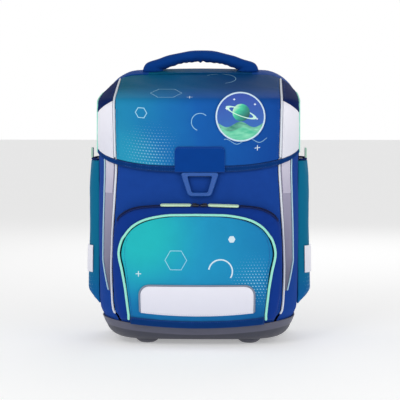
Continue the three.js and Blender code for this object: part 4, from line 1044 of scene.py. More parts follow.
ring_plastic = moulded_look("ring_plastic", "lock_plastic", "1552a4", 0.42, grain=0.03, coat=0.05)
catch_plastic = moulded_look("catch_plastic", "catch_plastic", "2a2c34", 0.5)
pull_plastic = moulded_look("pull_plastic", "pull_plastic", "cdebc6", 0.5, grain=0.05)
slider_paint = moulded_look("slider_paint", "slider_metal", "10182c", 0.35, grain=0.02, coat=0.3)
buckle_plastic = moulded_look("buckle_plastic", "buckle_plastic", "1a1b20", 0.45)

flap_print = print_look(
    "flap_print",
    half_width=FLAP_PANEL_SHARE * BODY_HALF_WIDTH,
    side_stops=[(0.0, "258bb6"), (0.25, "2079b6"), (0.5, "1b60b0"), (1.0, "174a9c")],
    # dark_from and dark_to darken the print over the lid's top, past the knuckle: the print's own colours with
    # painted shade laid over them.
    dark_from=95,
    dark_to=170,
    dark_stops=[(0.0, "02627f"), (0.35, "0f5c8e"), (0.7, "0c447c"), (1.0, "033e74")],
    motifs=flap_motifs,
    teal_corner=((-119, 0), 75, "2b98bd"),
)
pocket_print = print_look(
    "pocket_print",
    half_width=POCKET_HALF_WIDTH,
    side_stops=[(0.0, "2391c2"), (0.5, "269ac6"), (1.0, "2080b8")],
    dark_from=120,
    dark_to=0,
    dark_stops=[(0.0, "185fa2"), (0.5, "16549a"), (1.0, "134890")],
    motifs=pocket_motifs,
    teal_corner=((-85, 165), 105, "28bcc2"),
)
side_print = print_look(
    "side_print",
    half_width=55,
    side_stops=[(0.0, "0e6d92"), (0.5, "0f7298"), (1.0, "0c5a8a")],
    dark_from=70,
    dark_to=0,
    dark_stops=[(0.0, "1460a0"), (1.0, "104c90")],
    motifs=side_motifs,
)


def strip_look():
    """The strip behind the lid: the print's colours between the grip's feet, darkened as painted shade under the
    grip, and plain royal outside them.
    """
    look = Look("strip_cloth", "body_fabric")
    crossing = look.weave(0.8, 0.05)
    share = look.math("MULTIPLY_ADD", look.across, 0.5 / STRIP_SHADED_PRINT_HALF, 0.5, clamp=True)
    # Print colours between the grip's feet, darkened as painted shade under the grip.
    printed = look.ramp(share, [(0.0, "06617c"), (0.5, "0c5283"), (1.0, "0a4474")])
    outside = look.math("GREATER_THAN", look.math("ABSOLUTE", look.across), float(STRIP_SHADED_PRINT_HALF))
    base = look.shaded(look.blend(outside, printed, colour("13499a")), 0.12)
    # Painted shade of the weave: the colour darkens where the threads cross.
    base = look.blend(look.math("MULTIPLY", crossing, 0.08), base, (0, 0, 0.02, 1))
    look.raise_by(look.noise(12), 0.3)
    return look.finish(base, 0.6, specular=0.02)


strip_cloth = strip_look()


def tray_look():
    """Moulded base: a smoother, paler band under the rim, and a grained lower part with scuffs on its feet."""
    look = Look("tray_plastic", "base_plastic")
    band = look.step(look.border, TRAY_LEDGE + 0.4, TRAY_LEDGE - 0.4)
    base = look.blend(band, colour("3b3d4b"), colour("57586a"))
    scuffed = look.math("MULTIPLY", look.step(look.along, 9.0, 0.0), look.noise(5))
    base = look.blend(look.math("MULTIPLY", scuffed, 0.5), base, colour("85858f"))
    base = look.shaded(base, 0.12, 30)
    grain = look.math("MULTIPLY", look.noise(0.7), look.math("SUBTRACT", 1.0, look.math("MULTIPLY", band, 0.7)))
    look.raise_by(grain, 0.35)
    return look.finish(base, look.math("MULTIPLY_ADD", look.noise(20), 0.15, 0.42))


tray_plastic = tray_look()


def patch_look():
    """The round patch: a ringed planet over two hills, with a few stars, on a blue ground inside a pale rim."""
    look = Look("patch_face", "patch_surface")
    away = look.length(look.across, look.along)
    height = look.math("MULTIPLY_ADD", look.along, 0.5 / PATCH_RADIUS, 0.5)
    ground = look.ramp(height, [(0.0, "1f6fc0"), (1.0, "1a3fa6")])
    streaks = look.noise(7, 4, stretch=(3, 1))
    x, y = look.offset((PLANET_SIDE, PLANET_UP))
    planet = look.math("LESS_THAN", look.length(x, y), PLANET_RADIUS)
    light = look.math("MULTIPLY_ADD", look.math("SUBTRACT", look.math("MULTIPLY", y, 0.8), x), 0.03, 0.45)
    light = look.math("MULTIPLY_ADD", streaks, 0.5, look.math("SUBTRACT", light, 0.22), clamp=True)
    body = look.ramp(light, [(0.0, "06544f"), (0.4, "0f9480"), (0.7, "3fd0a0"), (1.0, "d8f8dc")])
    base = look.blend(planet, ground, body)
    tilted = look.math("MULTIPLY_ADD", x, 0.35, y)
    ellipse = look.length(look.math("MULTIPLY", x, 0.045), look.math("MULTIPLY", tilted, 0.17))
    band = look.math("MULTIPLY", look.math("GREATER_THAN", ellipse, 0.78), look.math("LESS_THAN", ellipse, 1.0))
    behind = look.math("MULTIPLY", planet, look.math("GREATER_THAN", tilted, 0.0))
    band = look.math("MULTIPLY", band, look.math("SUBTRACT", 1.0, behind))
    base = look.blend(band, base, colour("c9f3e2"))
    for centre, swing, code in ((-11.0, 4.0, "0b7a68"), (-18.0, 3.0, "27b58e")):
        crest = look.math("SINE", look.math("MULTIPLY_ADD", look.across, 0.16, centre))
        below = look.math("LESS_THAN", look.along, look.math("MULTIPLY_ADD", crest, swing, centre))
        base = look.blend(below, base, look.ramp(streaks, [(0.3, code), (0.75, "8fe6c0")]))
    for star_x, star_y, size in ((-20, 12, 4.0), (21, 18, 3.2), (-9, 25, 3.0), (24, -3, 2.6)):
        base = look.blend(plus_mask(look, (star_x, star_y), size, 0.9), base, colour("e8f6ff"))
    rim = look.math("GREATER_THAN", away, PATCH_RADIUS - 2.2)
    base = look.blend(rim, base, colour("cfe6f6"))
    look.raise_by(look.math("MULTIPLY", streaks, planet), 0.25)
    return look.finish(base, 0.42, coat=0.15)


patch_face = patch_look()


# Base


def rim_height(x):
    return between(TRAY_FRONT_RIM, TRAY_RIM, np.minimum(np.abs(x) / BODY_HALF_WIDTH, 1) ** 2)


def tray_loop(height, outwards):
    """One turn round the base at a height, starting at the middle of the back."""
    section = wall_section(height)
    spans = np.linspace(-full_span(section), full_span(section), 150)
    walls = on_bag(section, spans, outwards)
    back = BACK_WALL + 2 * GAP + outwards
    edge = float(section.half) + outwards
    radius = TRAY_BACK_RADIUS
    turn = np.linspace(0, math.pi / 2, 8)
    corner = np.stack([edge - radius * (1 - np.cos(turn)), back - radius * (1 - np.sin(turn))], axis=-1)
    straight = np.stack([np.linspace(edge - radius, -(edge - radius), 42)[1:-1], np.full(40, back)], axis=-1)
    behind = np.concatenate([corner, straight, corner[::-1] * (-1, 1)])
    behind = np.column_stack([behind, np.full(len(behind), height)])
    return np.concatenate([walls, behind])


def tray_point_loop(share, outwards):
    """The loop at a share of the way from the base's floor to its rim, which dips in front."""
    flat_loop = tray_loop(TRAY_RIM, outwards)
    front = smoothstep(-flat_loop[:, 1], 0.55 * BODY_DEPTH, 0.8 * BODY_DEPTH)
    rims = between(TRAY_RIM, rim_height(flat_loop[:, 0]), front)
    heights = between(TRAY_FLOOR, rims, share)
    levels = np.linspace(TRAY_FLOOR, TRAY_RIM, 14)
    loops = np.array([tray_loop(level, outwards) for level in levels])
    spot = np.clip((heights - TRAY_FLOOR) / (levels[1] - levels[0]), 0, len(levels) - 1.001)
    row = spot.astype(int)
    index = np.arange(len(heights))
    low, high = loops[row, index], loops[row + 1, index]
    point = between(low, high, (spot - row)[:, None])
    point[:, 2] = heights
    return point, rims - heights


def base_tray():
    rings, depths = [], []
    outside = GAP + TRAY_WALL
    shares = np.concatenate([[0, 0.02, 0.06], np.linspace(0.12, 0.97, 22), [1.0]])
    for share in shares:
        _, below = tray_point_loop(share, outside)
        step = TRAY_LEDGE_STEP * smoothstep(below, TRAY_LEDGE - 0.6, TRAY_LEDGE + 0.6)
        rounded = 1.2 * (1 - math.sqrt(1 - (1 - min(share / 0.06, 1)) ** 2))
        inner, _ = tray_point_loop(share, 0.0)
        outer, _ = tray_point_loop(share, outside)
        away = (outer - inner) / np.linalg.norm(outer - inner, axis=1)[:, None]
        rings.append(outer - away * (step + rounded)[:, None])
        depths.append(below)
    for share, lip in ((1.0, 0.35), (1.0, 0.8), (0.97, 1.0), (0.6, 1.0), (0.3, 1.0), (0.12, 1.0)):
        wall, below = tray_point_loop(share, between(outside, GAP, lip))
        wall[:, 2] = np.maximum(wall[:, 2] + (0.35 if 0.3 < lip < 1 else 0), TRAY_FLOOR + TRAY_WALL)
        rings.append(wall)
        depths.append(below)
    for shrink in (0.6, 0.05):
        floor = rings[-1].copy()
        floor[:, :2] = between(floor[:, :2].mean(axis=0), floor[:, :2], shrink)
        floor[:, 2] = TRAY_FLOOR + TRAY_WALL
        rings.append(floor)
        depths.append(np.full(len(floor), TRAY_RIM))
    cloth = [np.column_stack([ring[:, 0], ring[:, 2], depth]) for ring, depth in zip(rings, depths)]
    loft("base_tray_shell", rings, tray_plastic, ["base_tray"], np.concatenate(cloth))
    for label, side in SIDES.items():
        for end, y in (("back", -FOOT_INSET), ("front", FOOT_INSET - BODY_DEPTH)):
            base_foot(f"base_foot_{end}_{label}", side * FOOT_SPREAD, y)


# A foot's side view, from its face up into the base. out: share of the way from the face's radius to the top's.
FOOT_PROFILE = [
    dict(up=0.0, out=-0.55),
    dict(up=0.0, out=0.0),
    dict(up=0.06, out=0.22),
    dict(up=0.25, out=0.5),
    dict(up=0.55, out=0.78),
    dict(up=0.85, out=0.93),
    dict(up=1.0, out=1.0),
    dict(up=1.12, out=1.02),
]


def base_foot(name, x, y):
    turn = np.linspace(0, 2 * math.pi, 40, endpoint=False)
    rings = []
    for row in FOOT_PROFILE:
        radius = between(FOOT_FACE_RADIUS, FOOT_TOP_RADIUS, row["out"])
        height = np.full(40, row["up"] * (TRAY_FLOOR + 1))
        rings.append(np.column_stack([x + radius * np.cos(turn), y + radius * np.sin(turn), height]))
    loft(name, rings, tray_plastic, (), front_cloth(rings, TRAY_RIM))


base_tray()


# Body walls


def wall_runs(v):
    return between(WALL_START, SIDE_TOP, v) - SIDE_TOP


front_face = bag_face(lambda section, u: between(-1, 1, u) * (front_seam(section) - SEAM_ROOM), wall_runs)
panel("front_wall", front_face, BODY_WALL, royal, ["front_panel"], sewn(pucker=0.45, swell=1.0), cell=3.6)


def side_wall_start(section):
    over_lid = np.minimum(section.tilt / 0.25, 1)
    return between(front_seam(section) + SEAM_ROOM, wing_edge(section) - 8, over_lid)


def side_relief(across, along, width, height):
    """Swell that dies away over the lid, where the wall passes under the wing."""
    calm = smoothstep(along, SIDE_TOP - WALL_START, SIDE_TOP - WALL_START - 60)
    return sewn(swell=0.7)(across, along, width, height) * calm


for label, side in SIDES.items():
    side_face = bag_face(
        lambda section, u, side=side: side * between(side_wall_start(section), full_span(section), u),
        lambda v: between(WALL_START - SIDE_TOP, LID_RUN, v),
    )
    panel(f"side_wall_{label}", side_face, BODY_WALL, royal, [f"side_panel_{label}"], side_relief, cell=5)


def back_wall():
    """The stiff back panel, bound round its edge."""
    heights = np.linspace(WALL_START, 0.76 * SIDE_TOP, 60)
    edge = [(float(wall_section(z).half) + FLAP_TOP * np.clip(z / 60 - 1, 0, 1), z) for z in heights]
    top = section_at(LID_RUN)
    arch = on_bag(top, np.linspace(full_span(top), -full_span(top), 120), FLAP_TOP)
    outline = np.array([*edge, *arch[:, [0, 2]], *[(-x, z) for x, z in reversed(edge)]])
    rings = shifted(solid_rings(outline, BACK_WALL, 1.6), 0, GAP + BACK_WALL)
    loft("back_wall", rings, back_cloth, ["back_panel"], front_cloth(rings, INSIDE))


back_wall()


# Corner pipings and reflectors


def reflector_start(section):
    return front_seam(section) + SEAM_ROOM


def reflector_end(section):
    climb = np.clip((section.height - REFLECTOR_TIP) / (REFLECTOR_TOP - REFLECTOR_TIP), 0, 1)
    share = np.maximum(np.minimum(0.1 + climb * 3, 0.7 + climb * 0.3), 0.1)
    return reflector_start(section) + REFLECTOR_WIDTH * share


def line_on_bag(span, runs, outwards):
    section = section_at(runs)
    return on_bag(section, span(section), outwards)


for label, side in SIDES.items():
    runs = np.linspace(PIPING_FOOT, SIDE_TOP, 60) - SIDE_TOP
    seam_line = line_on_bag(lambda section, side=side: side * front_seam(section), runs, PIPING_RADIUS / 3)
    cord_piece(f"front_cord_{label}", seam_line, PIPING_RADIUS, white_cord, [f"front_piping_{label}"])

    film_face = bag_face(
        lambda section, u, side=side: side * between(reflector_start(section), reflector_end(section), u),
        lambda v: between(REFLECTOR_TIP, REFLECTOR_TOP, v) - SIDE_TOP,
        GAP + OVERLAY,
    )
    reflector = [f"corner_reflector_{label}"]
    panel(f"corner_film_{label}", film_face, OVERLAY, lilac_film, reflector, sewn(1.5, 0.1, 0.15), 4, 0.5)
    upper_face = bag_face(
        lambda section, u, side=side: side * between(reflector_start(section) + 1, reflector_end(section) - 1, u),
        lambda v: between(REFLECTOR_PATCH_FOOT, REFLECTOR_TOP, v) - SIDE_TOP,
        2 * GAP + 1.5 * OVERLAY,
    )
    patch = [f"corner_patch_{label}"]
    panel(f"upper_film_{label}", upper_face, OVERLAY / 2, pale_film, patch, sewn(1.5, 0.1, 0.15), 4, 0.3)
    edge_runs = np.linspace(REFLECTOR_TIP, REFLECTOR_TOP, 40) - SIDE_TOP
    edge_line = line_on_bag(
        lambda section, side=side: side * (reflector_end(section) + FINE_PIPING_RADIUS + 2 * GAP),
        edge_runs,
        FINE_PIPING_RADIUS + GAP,
    )
    edging = [f"reflector_piping_{label}"]
    cord_piece(f"film_cord_{label}", edge_line, FINE_PIPING_RADIUS, blue_cord, edging, sides=8)


# Front pocket


def pocket_crown(x):
    return POCKET_CROWN * (1 - (x / POCKET_HALF_WIDTH) ** 2)


def pocket_edge(share):
    spot = share * POCKET_EDGE[-1]["spot"]

    def scaled(column, size):
        return look_up(POCKET_EDGE, "spot", column, spot) * size

    return SimpleNamespace(
        seam=scaled("seam", POCKET_HALF_WIDTH),
        seam_up=scaled("seam_up", POCKET_TOP),
        deep=scaled("deep", POCKET_DEPTH),
        mouth=scaled("mouth", POCKET_MOUTH_HALF_WIDTH),
        mouth_up=scaled("mouth_up", POCKET_MOUTH_TOP),
    )


def on_pocket(x, height, outwards):
    deep = POCKET_DEPTH * look_up(POCKET_EDGE, "seam_up", "deep", height / POCKET_TOP)
    return wall_front(x, height, deep + pocket_crown(x) + outwards)


def pocket_share(share):
    """Share of the edge table at a share of the way round the whole pocket, and the side that it lies on."""
    climb = 1 - np.abs(2 * share - 1)
    return np.where(share < 0.5, -1, 1), between(POCKET_START, 1, climb)


def pocket_rim(x):
    return rim_height(x) + GAP


def pocket_face(u, v, outwards=0.0):
    rise = 1 - (1 - v) ** 1.9
    edge_foot = pocket_rim(POCKET_EDGE[0]["seam"] * POCKET_HALF_WIDTH)
    edge_height = between(edge_foot, POCKET_TOP, rise)
    half = POCKET_HALF_WIDTH * look_up(POCKET_EDGE, "seam_up", "seam", edge_height / POCKET_TOP)
    x = between(-1, 1, u) * np.maximum(half - POCKET_SEAM_ROOM, 0.5)
    height = between(pocket_rim(x), POCKET_TOP, rise)
    lowered = POCKET_SEAM_ROOM * smoothstep(height, 0.7 * POCKET_TOP, POCKET_TOP)
    return on_pocket(x, height - lowered, outwards)


def pocket_panel():
    """The printed front. Its print is placed by x and height, because its rows are bent."""
    piece = panel("pocket_print", pocket_face, POCKET_WALL, pocket_print, ["pocket_front"], sewn(swell=0.9), 3)
    count = len(piece.data.vertices)
    points = np.zeros(count * 3)
    piece.data.vertices.foreach_get("co", points)
    points = (points.reshape(-1, 3) - (0, BACK_PLANE, 0)) / MM
    cloth = piece.data.attributes["cloth"]
    values = np.zeros(count * 3, np.float32)
    cloth.data.foreach_get("vector", values)
    values = values.reshape(-1, 3)
    values[:, 0], values[:, 1] = points[:, 0], points[:, 2]
    cloth.data.foreach_set("vector", values.ravel())


pocket_panel()


def gusset_point(u, v):
    """The gusset from the body (u = 0) to just behind the front's seam (u = 1), round the pocket (v)."""
    inward = look_up(GUSSET_PROFILE, "at", "side", u)
    out = look_up(GUSSET_PROFILE, "at", "deep", u)
    side, share = pocket_share(v)
    edge = pocket_edge(share)
    x = side * between(edge.mouth, edge.seam + GAP, inward)
    up = between(edge.mouth_up, edge.seam_up + GAP, inward)
    depth = edge.deep + pocket_crown(edge.seam) - POCKET_SEAM_ROOM - GAP
    return wall_front(x, up, between(POCKET_WALL + GAP / 3, depth, out))


def gusset_face(u, v, outwards=0.0):
    """The gusset's face, moved along its normal."""
    middle = gusset_point(u, v)
    step = 1e-3
    u_step = np.where(u > 0.5, -step, step)
    v_step = np.where(v > 0.5, -step, step)
    across = (gusset_point(u + u_step, v) - middle) * np.sign(u_step)[:, None]
    along = (gusset_point(u, v + v_step) - middle) * np.sign(v_step)[:, None]
    normal = np.cross(across, along)
    normal /= np.linalg.norm(normal, axis=1)[:, None]
    return middle + normal * np.reshape(np.broadcast_to(outwards, len(middle)), (-1, 1))


HALFWAY = np.array([0.5])
gusset_normal = gusset_face(HALFWAY, HALFWAY, 1.0) - gusset_face(HALFWAY, HALFWAY)
GUSSET_OUT = -1 if gusset_normal[0, 2] < 0 else 1  # over the pocket's top the gusset's outside looks up


def gusset_outside(u, v, outwards=0.0):
    return gusset_face(u, v, GUSSET_OUT * np.asarray(outwards))


panel("pocket_gusset_cloth", gusset_outside, POCKET_WALL, gusset_royal, ["pocket_gusset"], sewn(2.5, 0.25, 0.3), 3)

round_the_pocket = np.linspace(0, 1, 300)
cord_sides, cord_shares = pocket_share(round_the_pocket)
cord_edge = pocket_edge(cord_shares)
cord_out = cord_edge.deep + pocket_crown(cord_edge.seam)
cord_line = wall_front(cord_sides * cord_edge.seam, cord_edge.seam_up, cord_out)
cord_piece("pocket_cord", cord_line, POCKET_PIPING_RADIUS, mint_cord, ["pocket_piping"])


# Zip


def zip_face(u, v, outwards=0.0):
    along = between(ZIP_END, 1 - ZIP_END, v)
    edge = gusset_outside(np.full_like(along, ZIP_PLACE), along, 2 * GAP + OVERLAY)
    ahead = gusset_outside(np.full_like(along, 2 * ZIP_PLACE), along, 2 * GAP + OVERLAY) - edge
    ahead /= np.linalg.norm(ahead, axis=1)[:, None]
    lifted = gusset_outside(np.full_like(along, ZIP_PLACE), along, 3 * GAP + OVERLAY) - edge
    lifted /= np.linalg.norm(lifted, axis=1)[:, None]
    amount = np.reshape(np.broadcast_to(outwards, len(along)), (-1, 1))
    return edge + ahead * (np.broadcast_to(u, len(along)) * ZIP_WIDTH)[:, None] + lifted * amount


panel("zip_tape", zip_face, OVERLAY, zip_cloth, ["pocket_zip"], cell=1.6, rounding=0.3)


def zip_teeth():
    """The coil: two rows of short loops that meet in the middle of the tape."""
    shares = np.linspace(0, 1, 400)
    middle = zip_face(np.full(400, 0.5), shares, 0.4)
    above = zip_face(np.full(400, 0.5), shares, 1.4)
    edge = zip_face(np.full(400, 0.8), shares, 0.4)
    run = length_along(middle)
    points, faces = [], []
    for k, spot in enumerate(np.arange(TOOTH_PITCH, run[-1] - TOOTH_PITCH, TOOTH_PITCH / 2)):
        base, up, out = (along_line(line, run, spot) for line in (middle, above, edge))
        up = up - base
        out = (out - base) / np.linalg.norm(out - base) * (1 if k % 2 else -1)
        ahead = np.cross(up, out) * 0.32
        start = len(points)
        for reach in (-0.5, 1.5):
            points += [base + out * reach + part for part in (ahead, up * 0.45, -ahead, -up * 0.1)]
        for a, b in ((0, 1), (1, 2), (2, 3), (3, 0)):
            faces.append((start + a, start + b, start + 4 + b, start + 4 + a))
        faces += [(start, start + 3, start + 2, start + 1), (start + 4, start + 5, start + 6, start + 7)]
    add_piece("zip_teeth", np.array(points), faces, slider_paint)


zip_teeth()

zip_middle = zip_face(HALFWAY, HALFWAY, GAP)[0]
zip_out = zip_face(HALFWAY, HALFWAY, GAP + 1)[0] - zip_middle


def on_zip(name, rings, x, turn, look, nodes=()):
    """A plate lying on the zip, with its back turned to the slope of the gusset."""
    lean = Matrix.Rotation(-math.atan2(zip_out[2], -zip_out[1]), 4, "X")
    spin = Matrix.Rotation(turn, 4, "Y")
    seat = Matrix.Translation((x, zip_middle[1] - 0.4, zip_middle[2] - 1.2))
    rings = moved(rings, seat @ lean @ spin)
    return loft(name, rings, look, nodes, front_cloth(rings, 2))


for label, side in SIDES.items():
    slider = solid_rings(capsule(SLIDER_LENGTH, ZIP_WIDTH), SLIDER_THICKNESS, 0.9)
    slider_x = LOCK_SHIFT + side * (SLIDER_LENGTH / 2 + GAP)
    on_zip(f"slider_body_{label}", slider, slider_x, 0, slider_paint, [f"zip_slider_{label}"])
    bridge = shifted(solid_rings(capsule(6.5, 2.6), 1.6, 0.6), 0, -SLIDER_THICKNESS + 0.4)
    on_zip(f"slider_bridge_{label}", bridge, LOCK_SHIFT + side * (SLIDER_LENGTH / 2 + 2), 0, slider_paint)
    pull = solid_rings(capsule(PULL_LENGTH, PULL_WIDTH, 14), PULL_THICKNESS, 1.2)
    pull = shifted(pull, side * PULL_LENGTH / 2, 0)
    start = LOCK_SHIFT + side * (SLIDER_LENGTH + 3 * GAP)
    turn = -PULL_DROOP if side > 0 else 0
    on_zip(f"pull_grip_{label}", pull, start, turn, pull_plastic, [f"zip_pull_{label}"])
    upright = capsule(PULL_WIDTH * 0.62, 1.3, 5)[:, ::-1] * (1, -1)
    for rib in range(7):
        x = side * (PULL_LENGTH * 0.3 + rib * 4)
        ridge = shifted(solid_rings(upright, 0.7, 0.3, 3), x, -PULL_THICKNESS + 0.3)
        on_zip(f"pull_rib_{label}_{rib}", ridge, start, turn, pull_plastic)


# Reflective band, its trim and the pocket's hem


def band_top(x):
    past = np.maximum(np.abs(x) - (BAND_HALF_WIDTH - BAND_CORNER), 0) / BAND_CORNER
    return BAND_TOP - BAND_CORNER * (1 - np.sqrt(np.maximum(1 - past * past, 0)))


def band_face(u, v, outwards=0.0):
    x = BAND_HALF_WIDTH * np.sin(between(-1, 1, u) * math.pi / 2)
    low = BAND_BOTTOM - BAND_SAG * (1 - (x / BAND_HALF_WIDTH) ** 2)
    return on_pocket(x, between(low, band_top(x), v), 2 * GAP + OVERLAY + outwards)


panel("band_film", band_face, OVERLAY, white_film, ["reflective_band"], sewn(2, 0.12, 0.3), 3.5, 0.5)


def trim_line():
    edge = BAND_HALF_WIDTH + FINE_PIPING_RADIUS + GAP
    turn = BAND_CORNER + FINE_PIPING_RADIUS + GAP
    top = BAND_TOP + FINE_PIPING_RADIUS + GAP
    angles = np.linspace(0, math.pi / 2, 12)
    corner = np.stack([edge - turn * (1 - np.cos(angles)), top - turn * (1 - np.sin(angles))], axis=-1)
    foot = np.stack([np.full(6, edge), np.linspace(BAND_BOTTOM + 1, top - turn, 7)[:-1]], axis=-1)
    right = np.concatenate([foot, corner])
    across = np.linspace(edge - turn, -(edge - turn), 40)[1:-1]
    level = np.stack([across, np.full(38, top)], axis=-1)
    line = np.concatenate([right, level, right[::-1] * (-1, 1)])
    return on_pocket(line[:, 0], line[:, 1], FINE_PIPING_RADIUS + GAP)


cord_piece("trim_cord", trim_line(), FINE_PIPING_RADIUS, grey_cord, ["band_trim"], sides=8)


def hem_face(u, v, outwards=0.0):
    x = between(-1, 1, u) * (float(pocket_edge(POCKET_START).seam) - POCKET_SEAM_ROOM)
    return on_pocket(x, pocket_rim(x) + POCKET_HEM * v, 2 * GAP + OVERLAY + outwards)


panel("pocket_hem_cloth", hem_face, OVERLAY, hem_cloth, ["pocket_hem"], sewn(2, 0.15, 0.2), 3, 0.5)


# Lid


def hem_low(share):
    return HEM_HEIGHT + HEM_RISE * np.abs(share) ** 3.2 - SIDE_TOP


def hem_high(share):
    return hem_low(share) + HEM_BAND * (1 - 0.35 * share * share)


hem_section = wall_section(HEM_HEIGHT + HEM_RISE / 3)
SEAM_SHARE = float(flap_seam(hem_section) / wing_edge(hem_section))


def flap_relief(across, along, width, height):
    """The lid's cloth: sewn edges, a soft crease at the knuckle and a little sag between the seams."""
    from_middle = (2 * across / width - 1) ** 2
    crease = np.exp(-(((along - 98) / 10) ** 2)) * 0.8
    sag = smoothstep(along, 110, 180) * (1 - from_middle) * 1.6
    return sewn(swell=0.9)(across, along, width, height) + crease - sag


def flap_face(u, v, outwards=0.0):
    """The lid's printed middle, whose lower edge follows the hem."""
    share = between(-1, 1, u)
    section = section_at(between(hem_high(share * SEAM_SHARE) + GAP, STRIP_RUN - GAP, v))
    return on_bag(section, share * (flap_seam(section) - SEAM_ROOM), FLAP_TOP + outwards)


panel("flap_print_cloth", flap_face, FLAP_WALL, flap_print, ["flap_panel"], flap_relief, 3)


def wing_split(share):
    return KNUCKLE_RUN - WING_SPLIT_DROP * share


def wing_share(u):
    return between(flap_seam(hem_section) + SEAM_ROOM, wing_edge(hem_section), u) / wing_edge(hem_section)


def wing_face(side, low, high):
    """A wing's part between two runs, which are functions of the share across."""

    def face(u, v, outwards=0.0):
        section = section_at(between(low(u), high(u), v))
        span = side * between(flap_seam(section) + SEAM_ROOM, wing_edge(section), u)
        return on_bag(section, span, FLAP_TOP + outwards)

    return face


def beside_edge(side, run, room):
    """Points just past the wing's edge, square to it, at half the flap's thickness."""
    step = 0.1

    def near_edge(where, extra):
        section = section_at(where)
        return on_bag(section, side * (wing_edge(section) + extra), FLAP_CLEARANCE + FLAP_WALL / 2)

    edge = near_edge(run, 0)
    along = near_edge(run + step, 0) - edge
    along /= np.linalg.norm(along, axis=1)[:, None]
    down = near_edge(run, step) - edge
    away = down - along * np.sum(down * along, axis=1)[:, None]
    return edge + away / np.linalg.norm(away, axis=1)[:, None] * room


wing_faces, film_faces = {}, {}
for label, side in SIDES.items():
    wing_faces[label] = wing_face(side, lambda u: wing_split(u) + GAP, lambda u: STRIP_RUN - GAP + 0 * u)
    film_faces[label] = wing_face(side, lambda u: hem_high(wing_share(u)) + GAP, wing_split)
    panel(f"wing_cloth_{label}", wing_faces[label], FLAP_WALL, navy, [f"flap_wing_{label}"], sewn(swell=0.5))
    reflector = [f"wing_reflector_{label}"]
    panel(f"wing_film_{label}", film_faces[label], FLAP_WALL, white_film, reflector, sewn(2.2, 0.15, 0.5))
    low = float(hem_high(SEAM_SHARE)) + PIPING_RADIUS + GAP
    seam_runs = np.linspace(low, STRIP_RUN - PIPING_RADIUS - GAP, 110)
    line = line_on_bag(lambda section, side=side: side * flap_seam(section), seam_runs, FLAP_TOP - 0.6)
    cord_piece(f"flap_cord_{label}", line, PIPING_RADIUS, white_cord, [f"flap_piping_{label}"])
    edge_runs = np.linspace(float(hem_low(1)), STRIP_RUN - PIPING_RADIUS - GAP, 110)
    line = beside_edge(side, edge_runs, PIPING_RADIUS + 3 * GAP)
    cord_piece(f"wing_cord_{label}", line, PIPING_RADIUS, mint_cord, [f"wing_piping_{label}"])


def flap_hem_face(u, v, outwards=0.0):
    share = between(-1, 1, u)
    section = section_at(between(hem_low(share), hem_high(share), v))
    return on_bag(section, share * wing_edge(section), FLAP_TOP + outwards)


panel("flap_hem_cloth", flap_hem_face, FLAP_WALL, hem_cloth, ["flap_hem"], sewn(2, 0.25, 0.2), 2.6, 0.95)

strip_face = bag_face(
    lambda section, u: between(-1, 1, u) * (wing_edge(section) + 2 * SEAM_ROOM),
    lambda v: between(STRIP_RUN, LID_RUN, v),
    FLAP_TOP,
)
panel("strip_cloth", strip_face, FLAP_WALL, strip_cloth, ["lid_strip"], sewn(3, 0.2, 0.3))


# Tab, round patch and lock


def tab_face(u, v, outwards=0.0):
    x = TAB_HALF_WIDTH * np.sin(between(-1, 1, u) * math.pi / 2)
    past = np.maximum(np.abs(x) - (TAB_HALF_WIDTH - TAB_CORNER), 0) / TAB_CORNER
    top = TAB_TOP - TAB_CORNER * (1 - np.sqrt(np.maximum(1 - past * past, 0)))
    return wall_front(LOCK_SHIFT + x, between(HEM_HEIGHT, top, v), FLAP_TOP + GAP + FLAP_WALL + outwards)


panel("tab_cloth", tab_face, FLAP_WALL, tab_cloth, ["tab_patch"], sewn(2.2, 0.1, 0.25), 2.4, 1.0)


def seat_on_front(x, height, half_width, half_height, outwards):
    """Where a flat plate lies on the front: it leans with the wall behind it and just clears it everywhere."""

    def behind(across, up):
        return wall_front(x + across, np.minimum(height + up, SIDE_TOP), outwards)[..., 1]

    yaw = (behind(half_width, 0.0) - behind(-half_width, 0.0)) / (2 * half_width)
    lean = (behind(0.0, 0.0) - behind(0.0, -half_height)) / half_height
    across, up = np.meshgrid(np.linspace(-1, 1, 9) * half_width, np.linspace(-1, 1, 9) * half_height)
    room = behind(across.ravel(), up.ravel()) - yaw * across.ravel() - lean * up.ravel()
    y = float(room[height + up.ravel() <= SIDE_TOP].min()) - GAP
    turn = Matrix.Rotation(math.atan(yaw), 4, "Z") @ Matrix.Rotation(-math.atan(lean), 4, "X")
    return Matrix.Translation((x, y, height)) @ turn


def round_patch():
    """A disc with a raised rim, a domed planet and low hills."""
    turn = np.linspace(0, 2 * math.pi, 96, endpoint=False)
    rings = []
    radii = np.concatenate([[1.0, 1.0], np.linspace(1.0, 0.03, 34)]) * PATCH_RADIUS
    depths = np.concatenate([[0.0, 0.55], np.full(34, 1.0)])
    for k, (radius, depth) in enumerate(zip(radii, depths)):
        x, z = radius * np.cos(turn), radius * np.sin(turn)
        height = np.full(96, depth * (PATCH_THICKNESS - 0.7))
        if k >= 2:
            rim = 0.7 * smoothstep(radius, PATCH_RADIUS - 3.2, PATCH_RADIUS - 2.0)
            rim = rim * smoothstep(radius, PATCH_RADIUS + 0.1, PATCH_RADIUS - 0.7)
            planet = np.hypot(x - PLANET_SIDE, z - PLANET_UP) / PLANET_RADIUS
            dome = 0.65 * np.sqrt(np.maximum(1 - planet**2, 0))
            crest = 4 * np.sin(0.16 * x - 11)
            hills = 0.3 * smoothstep(z, -10.5 + crest, -12.5 + crest)
            inside = 1 - smoothstep(radius, PATCH_RADIUS - 4, PATCH_RADIUS - 3)
            height = height + rim + np.maximum(dome, hills) * inside
        rings.append(np.column_stack([x, -height, z]))
    seat = seat_on_front(PATCH_SIDE, PATCH_HEIGHT, 0.75 * PATCH_RADIUS, 0.75 * PATCH_RADIUS, FLAP_TOP)
    loft("patch_relief", moved(rings, seat), patch_face, ["round_patch"], front_cloth(rings, INSIDE))


round_patch()


